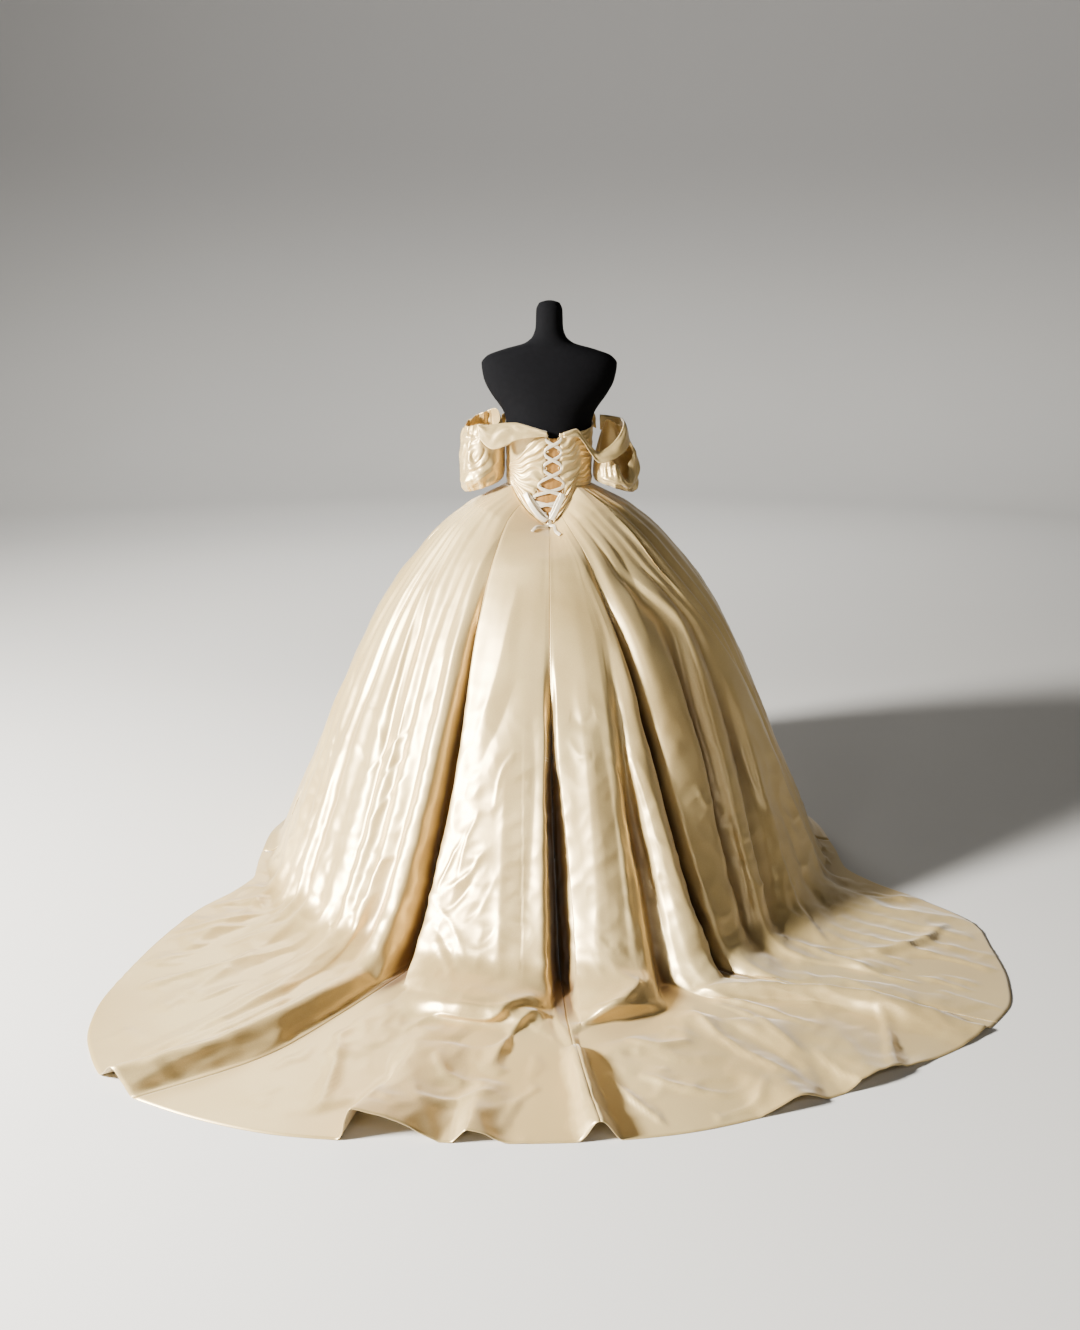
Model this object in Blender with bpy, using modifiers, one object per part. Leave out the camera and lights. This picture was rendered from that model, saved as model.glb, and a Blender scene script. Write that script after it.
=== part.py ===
"""A quinceanera dress on a limbless dress form, seen in the photograph from behind.

Metres, +Z up.  The origin is on the floor under the form's pole.  +Y is the front of the
dress and -Y its back, where the train lies.  +X is the wearer's right, which is on the right
when the back is looked at.  An azimuth is in degrees round the pole: 0 at the centre back,
growing toward the wearer's right, 180 at the centre front.
"""
import math

import bmesh
import bpy
import numpy as np

COLLECTION = "quinceanera_dress"
MM = 0.001

# Colours, linear
JERSEY = (0.012, 0.012, 0.013)
STAND_METAL = (0.03, 0.03, 0.03)
CHAMPAGNE = (0.78, 0.68, 0.50)
IVORY = (0.85, 0.80, 0.68)
GOLD = (0.55, 0.38, 0.16)

# Cloth walls
SATIN = 1.5 * MM
BODICE_WALL = 1.6 * MM
RIBBON_WALL = 0.8 * MM
SEAM_GAP = 0.3 * MM
# Round the body a seam's inner edges lie closer than its outer ones
BODICE_SEAM_GAP = 0.85 * MM
# The waist seam slopes in the back point, so its gap is wider when measured upright
WAIST_SEAM_GAP = 0.5 * MM

# Dress form: height, half width, depth behind the pole, depth before it
FORM_RINGS = (
    (0.790, 0.138, 0.096, 0.088),
    (0.880, 0.156, 0.113, 0.103),
    (0.950, 0.144, 0.111, 0.097),
    (1.010, 0.122, 0.100, 0.087),
    (1.060, 0.112, 0.090, 0.082),
    (1.120, 0.112, 0.090, 0.093),
    (1.180, 0.113, 0.092, 0.112),
    (1.216, 0.115, 0.091, 0.116),
    (1.250, 0.123, 0.088, 0.108),
    (1.270, 0.135, 0.086, 0.101),
    (1.300, 0.157, 0.081, 0.088),
    (1.340, 0.177, 0.073, 0.072),
    (1.380, 0.183, 0.060, 0.056),
    (1.400, 0.168, 0.053, 0.048),
    (1.418, 0.120, 0.048, 0.043),
    (1.434, 0.064, 0.042, 0.040),
    (1.452, 0.044, 0.037, 0.037),
    (1.475, 0.037, 0.035, 0.035),
    (1.520, 0.035, 0.033, 0.033),
    (1.536, 0.028, 0.026, 0.026),
)
FORM_TOP = 1.543
FORM_LEVELS = (0.790, 0.880, 0.920, 0.950, 0.980, 1.010, 1.035, 1.060, 1.090, 1.120,
               1.150, 1.180, 1.216, 1.250, 1.275, 1.305, 1.340, 1.375, 1.398, 1.416, 1.434,
               1.452, 1.475, 1.520, 1.536)
FORM_SIDES = 28
FORM_SQUARENESS = 2.2

# Stand
BASE_RADIUS = 0.160
BASE_HEIGHT = 0.012
POLE_RADIUS = 0.0125

# Bodice: how far its layers stand off the form
INSET_OFFSET = 1.1 * MM
INSET_WALL = 1.0 * MM
BODICE_OFFSET = 5.0 * MM
WAIST_HEIGHT = 1.060
V_TIP_HEIGHT = 0.953
V_END_LEFT = 58.0
V_END_RIGHT = 36.0
SIDE_BACK_SEAM = 74.0
SIDE_FRONT_SEAM = 106.0
WAIST_RADIUS = 0.11

# Top edge of the bodice: azimuth, height
BODICE_TOP = (
    (0.0, 1.200),
    (30.0, 1.203),
    (60.0, 1.210),
    (90.0, 1.222),
    (120.0, 1.236),
    (150.0, 1.246),
    (168.0, 1.240),
    (180.0, 1.226),
)

# Laced opening at the centre back: height, left edge, right edge
OPENING = (
    (0.953, -0.002, 0.002),
    (0.985, -0.020, 0.013),
    (1.020, -0.044, 0.032),
    (1.050, -0.034, 0.040),
    (1.085, -0.014, 0.030),
    (1.130, -0.010, 0.028),
    (1.200, -0.004, 0.027),
)
# Height of each turn of the lacing at an edge of the opening, and of its end at the knot
LACING_TURNS = ((0.0, 1.190), (1.0, 1.151), (2.0, 1.110), (3.0, 1.068), (4.0, 1.028), (5.0, 0.999),
                (5.45, 0.988))
RIBBON_WIDTH = 8.5 * MM
BOW_WIDTH = 12.0 * MM
# Loops of the bow: name, side, reach sideways, rise above the knot, curve of the rise
BOW_LOOPS = (
    ("bow_loop_left", -1.0, 0.060, 0.068, 1.45),
    ("bow_loop_right", 1.0, 0.034, 0.066, 1.0),
)
RIBBON_LIFT = 1.75 * MM
CROSSING_STEP = 1.3 * MM
TURN_FLATNESS = 0.8
TURN_PINCH = 0.5
BOW_LIFT = 9.0 * MM
BOW_LIFT_SWING = 4.5 * MM
TRIM_GAP = 0.5 * MM
RUCHE_COUNT = 8
RUCHE_DEPTH = 3.2 * MM
FLAT_AT_OPENING = 8.0 * MM
FLAT_AT_SEAM = 12.0 * MM
RUCHE_FADE = 34.0 * MM

# Skirt profile rows: row, height at the free waist, drop under the back point,
# half width, depth behind, depth before, lean of the fold direction in degrees
SKIRT_ROWS = (
    (1.0, 1.006, 0.066, 0.222, 0.174, 0.190, 62.0),
    (2.0, 0.946, 0.034, 0.296, 0.240, 0.262, 50.0),
    (3.0, 0.870, 0.000, 0.365, 0.306, 0.325, 42.0),
    (4.0, 0.790, 0.000, 0.429, 0.370, 0.384, 36.0),
    (5.0, 0.700, 0.000, 0.487, 0.432, 0.437, 32.0),
    (6.0, 0.580, 0.000, 0.546, 0.508, 0.492, 28.0),
    (7.0, 0.450, 0.000, 0.605, 0.588, 0.543, 26.0),
    (8.0, 0.320, 0.000, 0.660, 0.670, 0.594, 25.0),
    (9.0, 0.200, 0.000, 0.714, 0.750, 0.642, 24.0),
    (10.0, 0.100, 0.000, 0.758, 0.828, 0.682, 22.0),
    (11.0, 0.036, 0.000, 0.784, 0.890, 0.708, 20.0),
    (12.0, 0.004, 0.000, 0.803, 0.952, 0.726, 28.0),
)
FLOOR_ROW = 12.0
HEM_ROW = 16.0
CAD_ROWS = (0.0, 1.0, 2.0, 3.0, 4.0, 5.0, 6.2, 7.5, 8.8, 10.0, 11.0, 12.0, 12.5, 13.0, 14.4,
            16.0)

# Hem on the floor: azimuth, distance from the pole
HEM = (
    (-180.0, 0.750),
    (-150.0, 0.776),
    (-120.0, 0.814),
    (-95.0, 0.832),
    (-80.0, 0.846),
    (-72.0, 0.862),
    (-67.0, 0.925),
    (-63.0, 1.030),
    (-59.0, 1.115),
    (-52.0, 1.270),
    (-47.0, 1.390),
    (-42.0, 1.470),
    (-35.0, 1.520),
    (-30.0, 1.510),
    (-22.0, 1.485),
    (-15.0, 1.450),
    (-8.0, 1.420),
    (0.0, 1.408),
    (10.0, 1.402),
    (20.0, 1.388),
    (30.0, 1.384),
    (41.0, 1.402),
    (47.0, 1.396),
    (52.0, 1.355),
    (58.0, 1.280),
    (63.0, 1.220),
    (67.0, 1.085),
    (71.0, 0.940),
    (76.0, 0.862),
    (95.0, 0.832),
    (120.0, 0.814),
    (150.0, 0.776),
    (180.0, 0.750),
)

# Rows of the skirt at which the fold table below gives azimuths and heights
FOLD_ROWS = (0.0, 3.0, 5.0, 7.0, 9.0, 12.0, 14.0, 16.0)

# Fold lines from the left side seam round the back to the right side seam.
# Name; azimuth at waist, hip, thigh, knee, shin, floor, train and hem;
# height in millimetres off the plain skirt at hip, thigh, knee, shin, floor, train and hem.
FOLDS = (
    ("left side seam", (-89, -89, -89, -88, -86, -84, -83, -83), (-2, -4, -6, -6, -4, 0, 0)),
    ("left ridge 8", (-85, -84.5, -84, -83, -80, -77, -75, -75), (5, 7, 8, 9, 10, 8, 6)),
    ("left valley 7", (-82, -80.5, -79.5, -79, -75, -72, -70, -70), (-4, -6, -6, -6, -4, 0, 0)),
    ("left ridge 7", (-78, -77, -76, -75.5, -71, -68, -66, -66), (5, 8, 9, 9, 9, 7, 5)),
    ("left crease 6", (-75, -73, -72.5, -72, -67, -64, -63, -63), (-6, -8, -8, -8, -6, 0, 0)),
    ("left ridge 6", (-72.5, -70, -69, -69, -64.5, -61, -60, -60.5), (5, 7, 8, 8, 8, 6, 4)),
    ("left valley 5", (-70, -67, -65.5, -65.5, -62, -58, -57.5, -58), (-4, -6, -6, -6, -4, 0, 0)),
    ("left ridge 5", (-67.5, -64, -62, -62, -59.5, -56, -55, -56), (6, 8, 9, 9, 8, 6, 4)),
    ("left crease 4", (-65, -61, -59, -59, -56.5, -54, -53, -54), (-6, -8, -9, -8, -6, 0, 0)),
    ("left ridge 4", (-63, -58, -56, -55.5, -53.5, -51.5, -51, -52.5), (5, 7, 8, 8, 7, 6, 4)),
    ("left valley 3", (-60.5, -55.5, -53, -51.5, -50, -49, -49, -51), (-4, -4, -6, -5, -4, 0, 0)),
    ("left ridge 3", (-58, -53, -49, -47.5, -46.5, -46.5, -47, -49.5), (6, 9, 9, 8, 8, 6, 3)),
    ("left long crease", (-55, -50, -45.5, -43.5, -43, -44, -44.5, -48), (-6, -10, -11, -8, -6, 0, 0)),
    ("left ridge 2", (-52, -45, -42, -40.5, -41, -42, -42.5, -46), (6, 8, 9, 8, 7, 7, 3)),
    ("left valley 1", (-49, -41, -38.5, -38, -39, -40, -40.5, -44), (-3, -6, -7, -6, -4, 0, 0)),
    ("left ridge 1", (-46, -37, -35.5, -35.5, -36.5, -38.5, -38, -41.5), (5, 7, 8, 6, 8, 8, 3)),
    ("left soft valley", (-43, -34, -32.5, -32, -33.5, -36.5, -35, -38), (0, 0, -4, -12, -14, 2, 2)),
    ("left roll", (-39, -29.5, -28.6, -28.4, -29.8, -32, -31.8, -35.4), (8, 14, 20, 26, 34, 34, 50)),
    ("left roll edge", (-36, -26.4, -25.8, -25.8, -27, -29.5, -30, -34.2), (0, -2, 2, 6, 14, 20, 26)),
    ("left recess", (-34, -25, -24.4, -23.8, -24.8, -27.8, -28.4, -33), (-6, -26, -70, -85, -70, 0, 0)),
    ("left panel edge", (-32, -23.6, -23, -22, -23, -25.5, -26.4, -30.5), (2, -2, -6, -4, 0, 4, 1)),
    ("left panel shoulder", (-28, -20.5, -19, -18.5, -19, -19.5, -18, -16.6), (4, 6, 8, 10, 10, 8, 2)),
    ("big hem arch", (-23, -16.5, -15.5, -15.5, -15.5, -15.5, -15, -15), (5, 8, 12, 13, 14, 24, 74)),
    ("arch slope", (-17, -13, -12.2, -12, -12, -12, -11.6, -11), (5, 8, 14, 15, 16, 14, 40)),
    ("arch foot", (-12, -9.5, -9, -9, -9, -9, -8.6, -8.2), (4, 7, 13, 15, 15, 4, 1)),
    ("small hem arch", (-7, -6.2, -6.2, -6.2, -6.2, -6.4, -6.4, -6.6), (3, 6, 12, 13, 14, 10, 40)),
    ("small arch foot", (-3.5, -3.8, -4, -4, -4, -4, -3.2, -2.6), (2, 4, 10, 11, 12, 4, 1)),
    ("centre fold edge", (-1.4, -1.6, -1.8, -1.6, -1, -0.6, 0.8, 1.6), (0, 2, 6, 9, 8, 8, 4)),
    ("centre seam", (0, 0, 0, 0.4, 1.2, 2.2, 2.8, 3.6), (0, -4, -35, -75, -80, 30, 45)),
    ("centre right edge", (1.2, 1.2, 1.4, 2, 3.4, 4.3, 4.8, 5.6), (0, 0, 0, 2, 4, 4, 2)),
    ("right panel crest 1", (3, 4, 5, 5.5, 6.4, 7.2, 7.8, 8.6), (3, 6, 8, 9, 10, 6, 2)),
    ("right panel crest 2", (5, 7.6, 9.6, 10.2, 10.6, 11, 11.4, 12.4), (4, 9, 13, 15, 15, 8, 2)),
    ("right panel crest 3", (6.5, 10.4, 13.2, 13.6, 14, 14.2, 15.2, 16.2), (3, 9, 13, 14, 14, 6, 3)),
    ("right train crease", (7.4, 11.4, 14.8, 15.2, 15.6, 16.2, 20.6, 20.4), (3, 8, 11, 8, 12, 0, 30)),
    ("right train crest", (8.2, 12.4, 16, 16.4, 17, 17.9, 25.4, 24), (2, 6, -2, -8, -4, 12, 2)),
    ("thumb fold", (9, 13.4, 17.2, 17.9, 18.8, 20.2, 31, 28), (2, 4, -16, -30, -28, 4, 30)),
    ("pointed fold", (9.6, 14.4, 18.6, 19.8, 21.2, 23.6, 36, 36.5), (1, 6, 4, 8, 8, 0, 4)),
    ("right narrow ridge", (10.2, 15.4, 20, 22.4, 24.4, 27, 38.6, 42), (0, 7, 11, 18, 26, 30, 14)),
    ("right recess edge", (10.8, 16.4, 21, 24.4, 26.4, 29.4, 39.8, 43.2), (0, 5, 6, 10, 14, 12, 2)),
    ("right recess", (11.6, 17.8, 22.6, 26.3, 28.2, 31.4, 40.8, 44.2), (-4, -22, -70, -85, -60, 0, 0)),
    ("right recess far edge", (12.6, 19.4, 24.4, 28.4, 30.2, 33.4, 42, 45.2), (0, -4, 0, 2, 4, 8, 6)),
    ("right second ridge", (14, 22, 28, 32.5, 34, 36, 43.6, 46.6), (8, 12, 10, 8, 8, 10, 5)),
    ("right second fall", (16, 25, 35, 37.4, 37.2, 38, 45, 48), (2, 4, 2, -2, -2, 2, 0)),
    ("right third valley", (18, 28, 42, 41.5, 40.2, 40, 46.4, 49.2), (-10, -18, -26, -26, -16, 0, 0)),
    ("right third ridge", (21, 33, 47, 46, 43, 42.2, 47.8, 50.6), (6, 10, 10, 10, 10, 8, 5)),
    ("right third fall", (24, 37, 50, 49.6, 45.4, 44, 49.4, 52), (2, 2, 0, -2, 0, 2, 1)),
    ("right fourth valley", (27, 40.5, 53, 53.5, 47.6, 45.8, 51, 53.5), (-6, -10, -16, -16, -12, 0, 0)),
    ("right fourth ridge", (31, 43, 55, 58, 53, 50, 53.2, 55.5), (8, 9, 11, 12, 12, 8, 6)),
    ("right broad panel", (36, 45.5, 56.8, 63, 60, 57, 57.4, 58.5), (10, 11, 15, 16, 16, 8, 5)),
    ("back panel edge", (42, 48, 58.8, 67.5, 67, 65, 62.6, 62.5), (13, 14, 17, 18, 18, 12, 8)),
    ("side pleat recess 1", (45, 51.5, 62.4, 70.6, 71.5, 71, 67, 66), (-20, -22, -15, -12, -6, 0, 0)),
    ("side pleat 1", (49, 56.5, 66.4, 73.4, 74.6, 74.4, 70.5, 69.5), (4, 4, 2, 4, 6, 6, 6)),
    ("side pleat recess 2", (54, 62, 70.4, 75.8, 77, 77, 73.4, 72), (-12, -14, -12, -8, -4, 0, 0)),
    ("side pleat 2", (60, 67, 74.4, 78.8, 80, 80, 76.6, 75), (6, 6, 6, 6, 8, 6, 6)),
    ("side pleat recess 3", (66, 72, 78, 81.6, 82.6, 82.4, 79.6, 78.4), (-8, -10, -8, -6, -4, 0, 0)),
    ("side pleat 3", (73, 78, 82, 85, 86, 85.8, 84, 83), (6, 8, 8, 8, 8, 6, 6)),
    ("right side seam", (81, 86, 88, 89, 89.6, 89, 88.4, 88), (-3, -4, -5, -5, -4, 0, 0)),
)
GORES = (
    ("skirt_side_left", "left side seam", "left recess"),
    ("skirt_back_left", "left recess", "centre seam"),
    ("skirt_back_right", "centre seam", "right recess"),
    ("skirt_side_right", "right recess", "right side seam"),
    ("skirt_front", "right side seam", "left side seam"),
)
FRONT_PLEATS = 23
FRONT_PLEAT_HEIGHT = 10.0
FRONT_PLEAT_DEPTH = -7.0
WIDE_COLUMN = 62 * MM
# Length of cloth lying on the floor from which the folds stand upright
LONG_TRAIN = 180 * MM

# Rolls where the cloth breaks on the floor: azimuth, half width in degrees, reach, height
FLOOR_ROLLS = (
    (-12.5, 12.0, 0.046, 0.034),
    (10.5, 8.5, 0.040, 0.032),
)

# Sleeves: middle of the arm and half sizes; share of them from the top rim to the foot
SLEEVE_X = 0.1822
SLEEVE_Y_LEFT = -0.004
SLEEVE_Y_RIGHT = -0.012
# Narrowing of the upper rim
SLEEVE_RIM_LEFT = 1.0
SLEEVE_RIM_RIGHT = 0.88
SLEEVE_HALF_WIDTH = 0.0615
SLEEVE_HALF_DEPTH = 0.074
SLEEVE_SHAPE = ((0.0, 0.79), (0.12, 0.93), (0.35, 1.0), (0.75, 1.0), (0.92, 0.93), (1.0, 0.74))
SLEEVE_GATHERS = 9
SLEEVE_GATHER_DEPTH = 3.0 * MM
SLEEVE_COLUMNS = 36
SLEEVE_FOOT = 1.051
SLEEVE_FOOT_TILT = 0.014
SLEEVE_ROWS = (0.0, 0.12, 0.3, 0.55, 0.78, 0.92, 1.0)
# Height of a sleeve's top rim round the arm: 0 behind it, 90 on its outer side, 180 before it
SLEEVE_TOP_LEFT = ((-90.0, 1.234), (-45.0, 1.218), (0.0, 1.224), (45.0, 1.216), (90.0, 1.210),
                   (135.0, 1.232), (180.0, 1.248), (225.0, 1.260), (270.0, 1.232))
SLEEVE_TOP_RIGHT = ((-90.0, 1.150), (-60.0, 1.128), (-30.0, 1.128), (5.0, 1.112), (35.0, 1.076),
                    (62.0, 1.110), (90.0, 1.1727), (130.0, 1.1733), (152.0, 1.175), (182.0, 1.222),
                    (215.0, 1.230), (240.0, 1.200), (270.0, 1.150))

# Folded band round the shoulders: azimuth, stand off the form, top, drop, flare of its lower edge
BAND_LEFT = (
    (-2.0, 0.0101, 1.206, 0.012, 0.004),
    (-14.0, 0.0101, 1.214, 0.022, 0.008),
    (-28.0, 0.0112, 1.222, 0.034, 0.013),
    (-42.0, 0.0190, 1.228, 0.048, 0.019),
    (-52.0, 0.0350, 1.227, 0.060, 0.022),
    (-58.5, 0.0544, 1.224, 0.064, 0.018),
    (-63.0, 0.0724, 1.222, 0.054, 0.012),
    (-66.2, 0.0892, 1.222, 0.032, 0.005),
)
BAND_RIGHT = (
    (15.0, 0.0105, 1.203, 0.012, 0.004),
    (32.0, 0.0105, 1.212, 0.020, 0.006),
    (42.0, 0.0130, 1.196, 0.022, 0.008),
    (52.0, 0.0220, 1.168, 0.024, 0.010),
    (60.0, 0.0360, 1.150, 0.028, 0.012),
    (70.0, 0.0580, 1.165, 0.036, 0.014),
    (80.0, 0.0800, 1.195, 0.044, 0.014),
    (90.0, 0.0900, 1.222, 0.047, 0.013),
    (100.0, 0.0880, 1.232, 0.050, 0.012),
    (110.0, 0.0600, 1.238, 0.045, 0.010),
    (115.0, 0.0400, 1.240, 0.042, 0.009),
)
BAND_FRONT = (
    (119.5, 0.0290, 1.242, 0.040, 0.008),
    (130.0, 0.0150, 1.247, 0.036, 0.008),
    (145.0, 0.0092, 1.254, 0.034, 0.008),
    (168.0, 0.0090, 1.250, 0.032, 0.007),
    (180.0, 0.0090, 1.238, 0.028, 0.006),
    (192.0, 0.0090, 1.250, 0.032, 0.007),
    (215.0, 0.0092, 1.254, 0.034, 0.008),
    (230.0, 0.0150, 1.247, 0.036, 0.008),
    (242.0, 0.0300, 1.242, 0.040, 0.008),
)
# Section of the folded band: distance outward, share of the flare, share of the drop
BAND_SECTION = ((-0.0035, 0.0, 0.42), (-0.0030, 0.0, 0.10), (0.0, 0.0, 0.0), (0.0035, 0.1, 0.12),
                (0.0045, 0.55, 0.55), (0.0040, 1.0, 1.0))
BAND_LEVEL = 1.216


def smooth(knots, values, at):
    """Monotone cubic curve through the values at the knots, read at the given places."""
    knots = np.asarray(knots, dtype=float)
    values = np.asarray(values, dtype=float)
    at = np.asarray(at, dtype=float)
    flat = values.ndim == 1
    if flat:
        values = values[:, None]
    step = np.diff(knots)[:, None]
    slope = np.diff(values, axis=0) / step
    before = slope[:-1]
    after = slope[1:]
    near = 2.0 * step[1:] + step[:-1]
    far = step[1:] + 2.0 * step[:-1]
    same = before * after > 0.0
    safe_before = np.where(same, before, 1.0)
    safe_after = np.where(same, after, 1.0)
    inner = np.where(same, (near + far) / (near / safe_before + far / safe_after), 0.0)
    tangent = np.vstack([slope[:1], inner, slope[-1:]])
    span = np.clip(np.searchsorted(knots, at, side="right") - 1, 0, len(knots) - 2)
    t = ((at - knots[span]) / step[span, 0])[:, None]
    width = step[span]
    low = values[span]
    high = values[span + 1]
    result = (low * (1.0 + 2.0 * t) * (1.0 - t) ** 2
              + high * t ** 2 * (3.0 - 2.0 * t)
              + width * tangent[span] * t * (1.0 - t) ** 2
              - width * tangent[span + 1] * t ** 2 * (1.0 - t))
    return result[:, 0] if flat else result


def bump(distance):
    """1 at no distance, falling smoothly to 0 at a distance of 1."""
    inside = np.clip(1.0 - np.abs(distance), 0.0, 1.0)
    return inside * inside * (3.0 - 2.0 * inside)


def power(value, exponent):
    """A power that keeps the sign of its base."""
    return np.sign(value) * np.abs(value) ** exponent


def form_ring(azimuth, height, offset):
    """Points on the form's rounded oblong ring at a height, moved out by an offset."""
    angle = np.radians(azimuth)
    rows = np.array(FORM_RINGS)
    half = smooth(rows[:, 0], rows[:, 1:], np.ravel(height))
    half = half.reshape(np.shape(height) + (3,)) + np.asarray(offset)[..., None]
    rounding = 2.0 / FORM_SQUARENESS
    depth = np.where(np.cos(angle) > 0.0, half[..., 1], half[..., 2])
    x = half[..., 0] * power(np.sin(angle), rounding)
    y = -depth * power(np.cos(angle), rounding)
    return np.stack([x, y, np.broadcast_to(height, x.shape)], axis=-1)


def azimuth_of(x, height):
    """Azimuth on the back of the form, at a height, that lies at a sideways distance x."""
    rows = np.array(FORM_RINGS)
    half = smooth(rows[:, 0], rows[:, 1], np.ravel(height)).reshape(np.shape(height))
    share = np.clip(np.asarray(x) / (half + BODICE_OFFSET), -1.0, 1.0)
    return np.degrees(np.arcsin(power(share, FORM_SQUARENESS / 2.0)))


def waist_point(azimuth):
    """How far into the back point (0 to 1) the waist seam is, and its height there."""
    azimuth = (np.asarray(azimuth, dtype=float) + 180.0) % 360.0 - 180.0
    reach = np.where(azimuth < 0.0, V_END_LEFT, V_END_RIGHT)
    point = np.clip(1.0 - np.abs(azimuth) / reach, 0.0, 1.0)
    return point, WAIST_HEIGHT - (WAIST_HEIGHT - V_TIP_HEIGHT) * point


def new_material(name, colour, roughness, metallic=0.0):
    """A Principled material in a plain colour."""
    material = bpy.data.materials.new(name)
    material.use_nodes = True
    shader = material.node_tree.nodes["Principled BSDF"]
    shader.inputs["Base Color"].default_value = (*colour, 1.0)
    shader.inputs["Roughness"].default_value = roughness
    shader.inputs["Metallic"].default_value = metallic
    return material


def add_object(name, mesh, colour, roughness, metallic=0.0):
    """Links a mesh as a named object with its own material."""
    mesh.materials.append(new_material(name + "_finish", colour, roughness, metallic))
    part = bpy.data.objects.new(name, mesh)
    bpy.data.collections[COLLECTION].objects.link(part)
    return part


def grid_faces(rows, columns, closed):
    """Four-sided faces of a grid whose points are numbered row by row."""
    wrap = columns if closed else columns - 1
    row, column = np.meshgrid(np.arange(rows - 1), np.arange(wrap), indexing="ij")
    after = (column + 1) % columns
    first = row * columns
    return np.stack([first + column, first + after, first + columns + after,
                     first + columns + column], axis=-1).reshape(-1, 4)


def cloth(name, points, wall, colour, closed=False, outward=True, offset=-1.0):
    """An open surface of cloth, given its thickness by Solidify on its inner side."""
    rows, columns = points.shape[:2]
    faces = grid_faces(rows, columns, closed)
    if not outward:
        faces = faces[:, ::-1]
    mesh = bpy.data.meshes.new(name)
    mesh.from_pydata(points.reshape(-1, 3).tolist(), [], faces.tolist())
    mesh.update()
    mesh.shade_smooth()
    part = add_object(name, mesh, colour, 0.42)
    shell = part.modifiers.new("cloth", "SOLIDIFY")
    shell.thickness = wall
    shell.offset = offset
    return part


def loft(name, rings, tip, colour, roughness):
    """A closed solid through rings, flat below and pointed to a rounded tip above."""
    rows, columns = rings.shape[:2]
    shape = bmesh.new()
    points = [[shape.verts.new(p) for p in ring] for ring in rings.tolist()]
    shape.faces.new(points[0][::-1])
    for lower, upper in zip(points[:-1], points[1:]):
        for i in range(columns):
            j = (i + 1) % columns
            shape.faces.new((lower[i], lower[j], upper[j], upper[i]))
    top = shape.verts.new(tip)
    for i in range(columns):
        shape.faces.new((points[-1][i], points[-1][(i + 1) % columns], top))
    bmesh.ops.recalc_face_normals(shape, faces=shape.faces)
    mesh = bpy.data.meshes.new(name)
    shape.to_mesh(mesh)
    shape.free()
    mesh.shade_smooth()
    return add_object(name, mesh, colour, roughness)


def make_form():
    """The limbless jersey form: rings from the hip to a rounded neck."""
    azimuth = np.arange(FORM_SIDES) * 360.0 / FORM_SIDES
    height = np.array(FORM_LEVELS)[:, None] + 0.0 * azimuth
    rings = form_ring(azimuth + 0.0 * height, height, 0.0 * height)
    loft("form_torso", rings, (0.0, 0.0, FORM_TOP), JERSEY, 0.85)


def make_stand():
    """A round base plate and the pole that carries the form."""
    bpy.ops.mesh.primitive_cylinder_add(vertices=32, radius=BASE_RADIUS, depth=BASE_HEIGHT,
                                        location=(0.0, 0.0, BASE_HEIGHT / 2.0))
    keep_primitive("stand_base", 0.35)
    bevel = bpy.data.objects["stand_base"].modifiers.new("edge", "BEVEL")
    bevel.width = 2.0 * MM
    bevel.segments = 1
    bevel.limit_method = "ANGLE"
    low = BASE_HEIGHT + SEAM_GAP
    high = FORM_LEVELS[0] - SEAM_GAP
    bpy.ops.mesh.primitive_cylinder_add(vertices=16, radius=POLE_RADIUS, depth=high - low,
                                        location=(0.0, 0.0, (low + high) / 2.0))
    keep_primitive("stand_pole", 0.30)


def keep_primitive(name, roughness):
    """Names the new primitive, colours it and moves it into the dress's collection."""
    part = bpy.context.active_object
    part.name = name
    part.data.name = name
    part.data.materials.append(new_material(name + "_finish", STAND_METAL, roughness, 0.8))
    for collection in list(part.users_collection):
        collection.objects.unlink(part)
    bpy.data.collections[COLLECTION].objects.link(part)


def patch(bottom, top, start, end, u, v):
    """Coons patch: a grid that fills the space between four edge curves."""
    u = u[None, :, None]
    v = v[:, None, None]
    sides = start[:, None] * (1.0 - u) + end[:, None] * u
    ends = bottom[None] * (1.0 - v) + top[None] * v
    corners = (bottom[0] * (1.0 - u) * (1.0 - v) + bottom[-1] * u * (1.0 - v)
               + top[0] * (1.0 - u) * v + top[-1] * u * v)
    return sides + ends - corners


def bodice_top(azimuth):
    """Height of the bodice's top edge."""
    rows = np.array(BODICE_TOP)
    turned = np.abs((np.asarray(azimuth, dtype=float) + 180.0) % 360.0 - 180.0)
    return smooth(rows[:, 0], rows[:, 1], turned)


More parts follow.
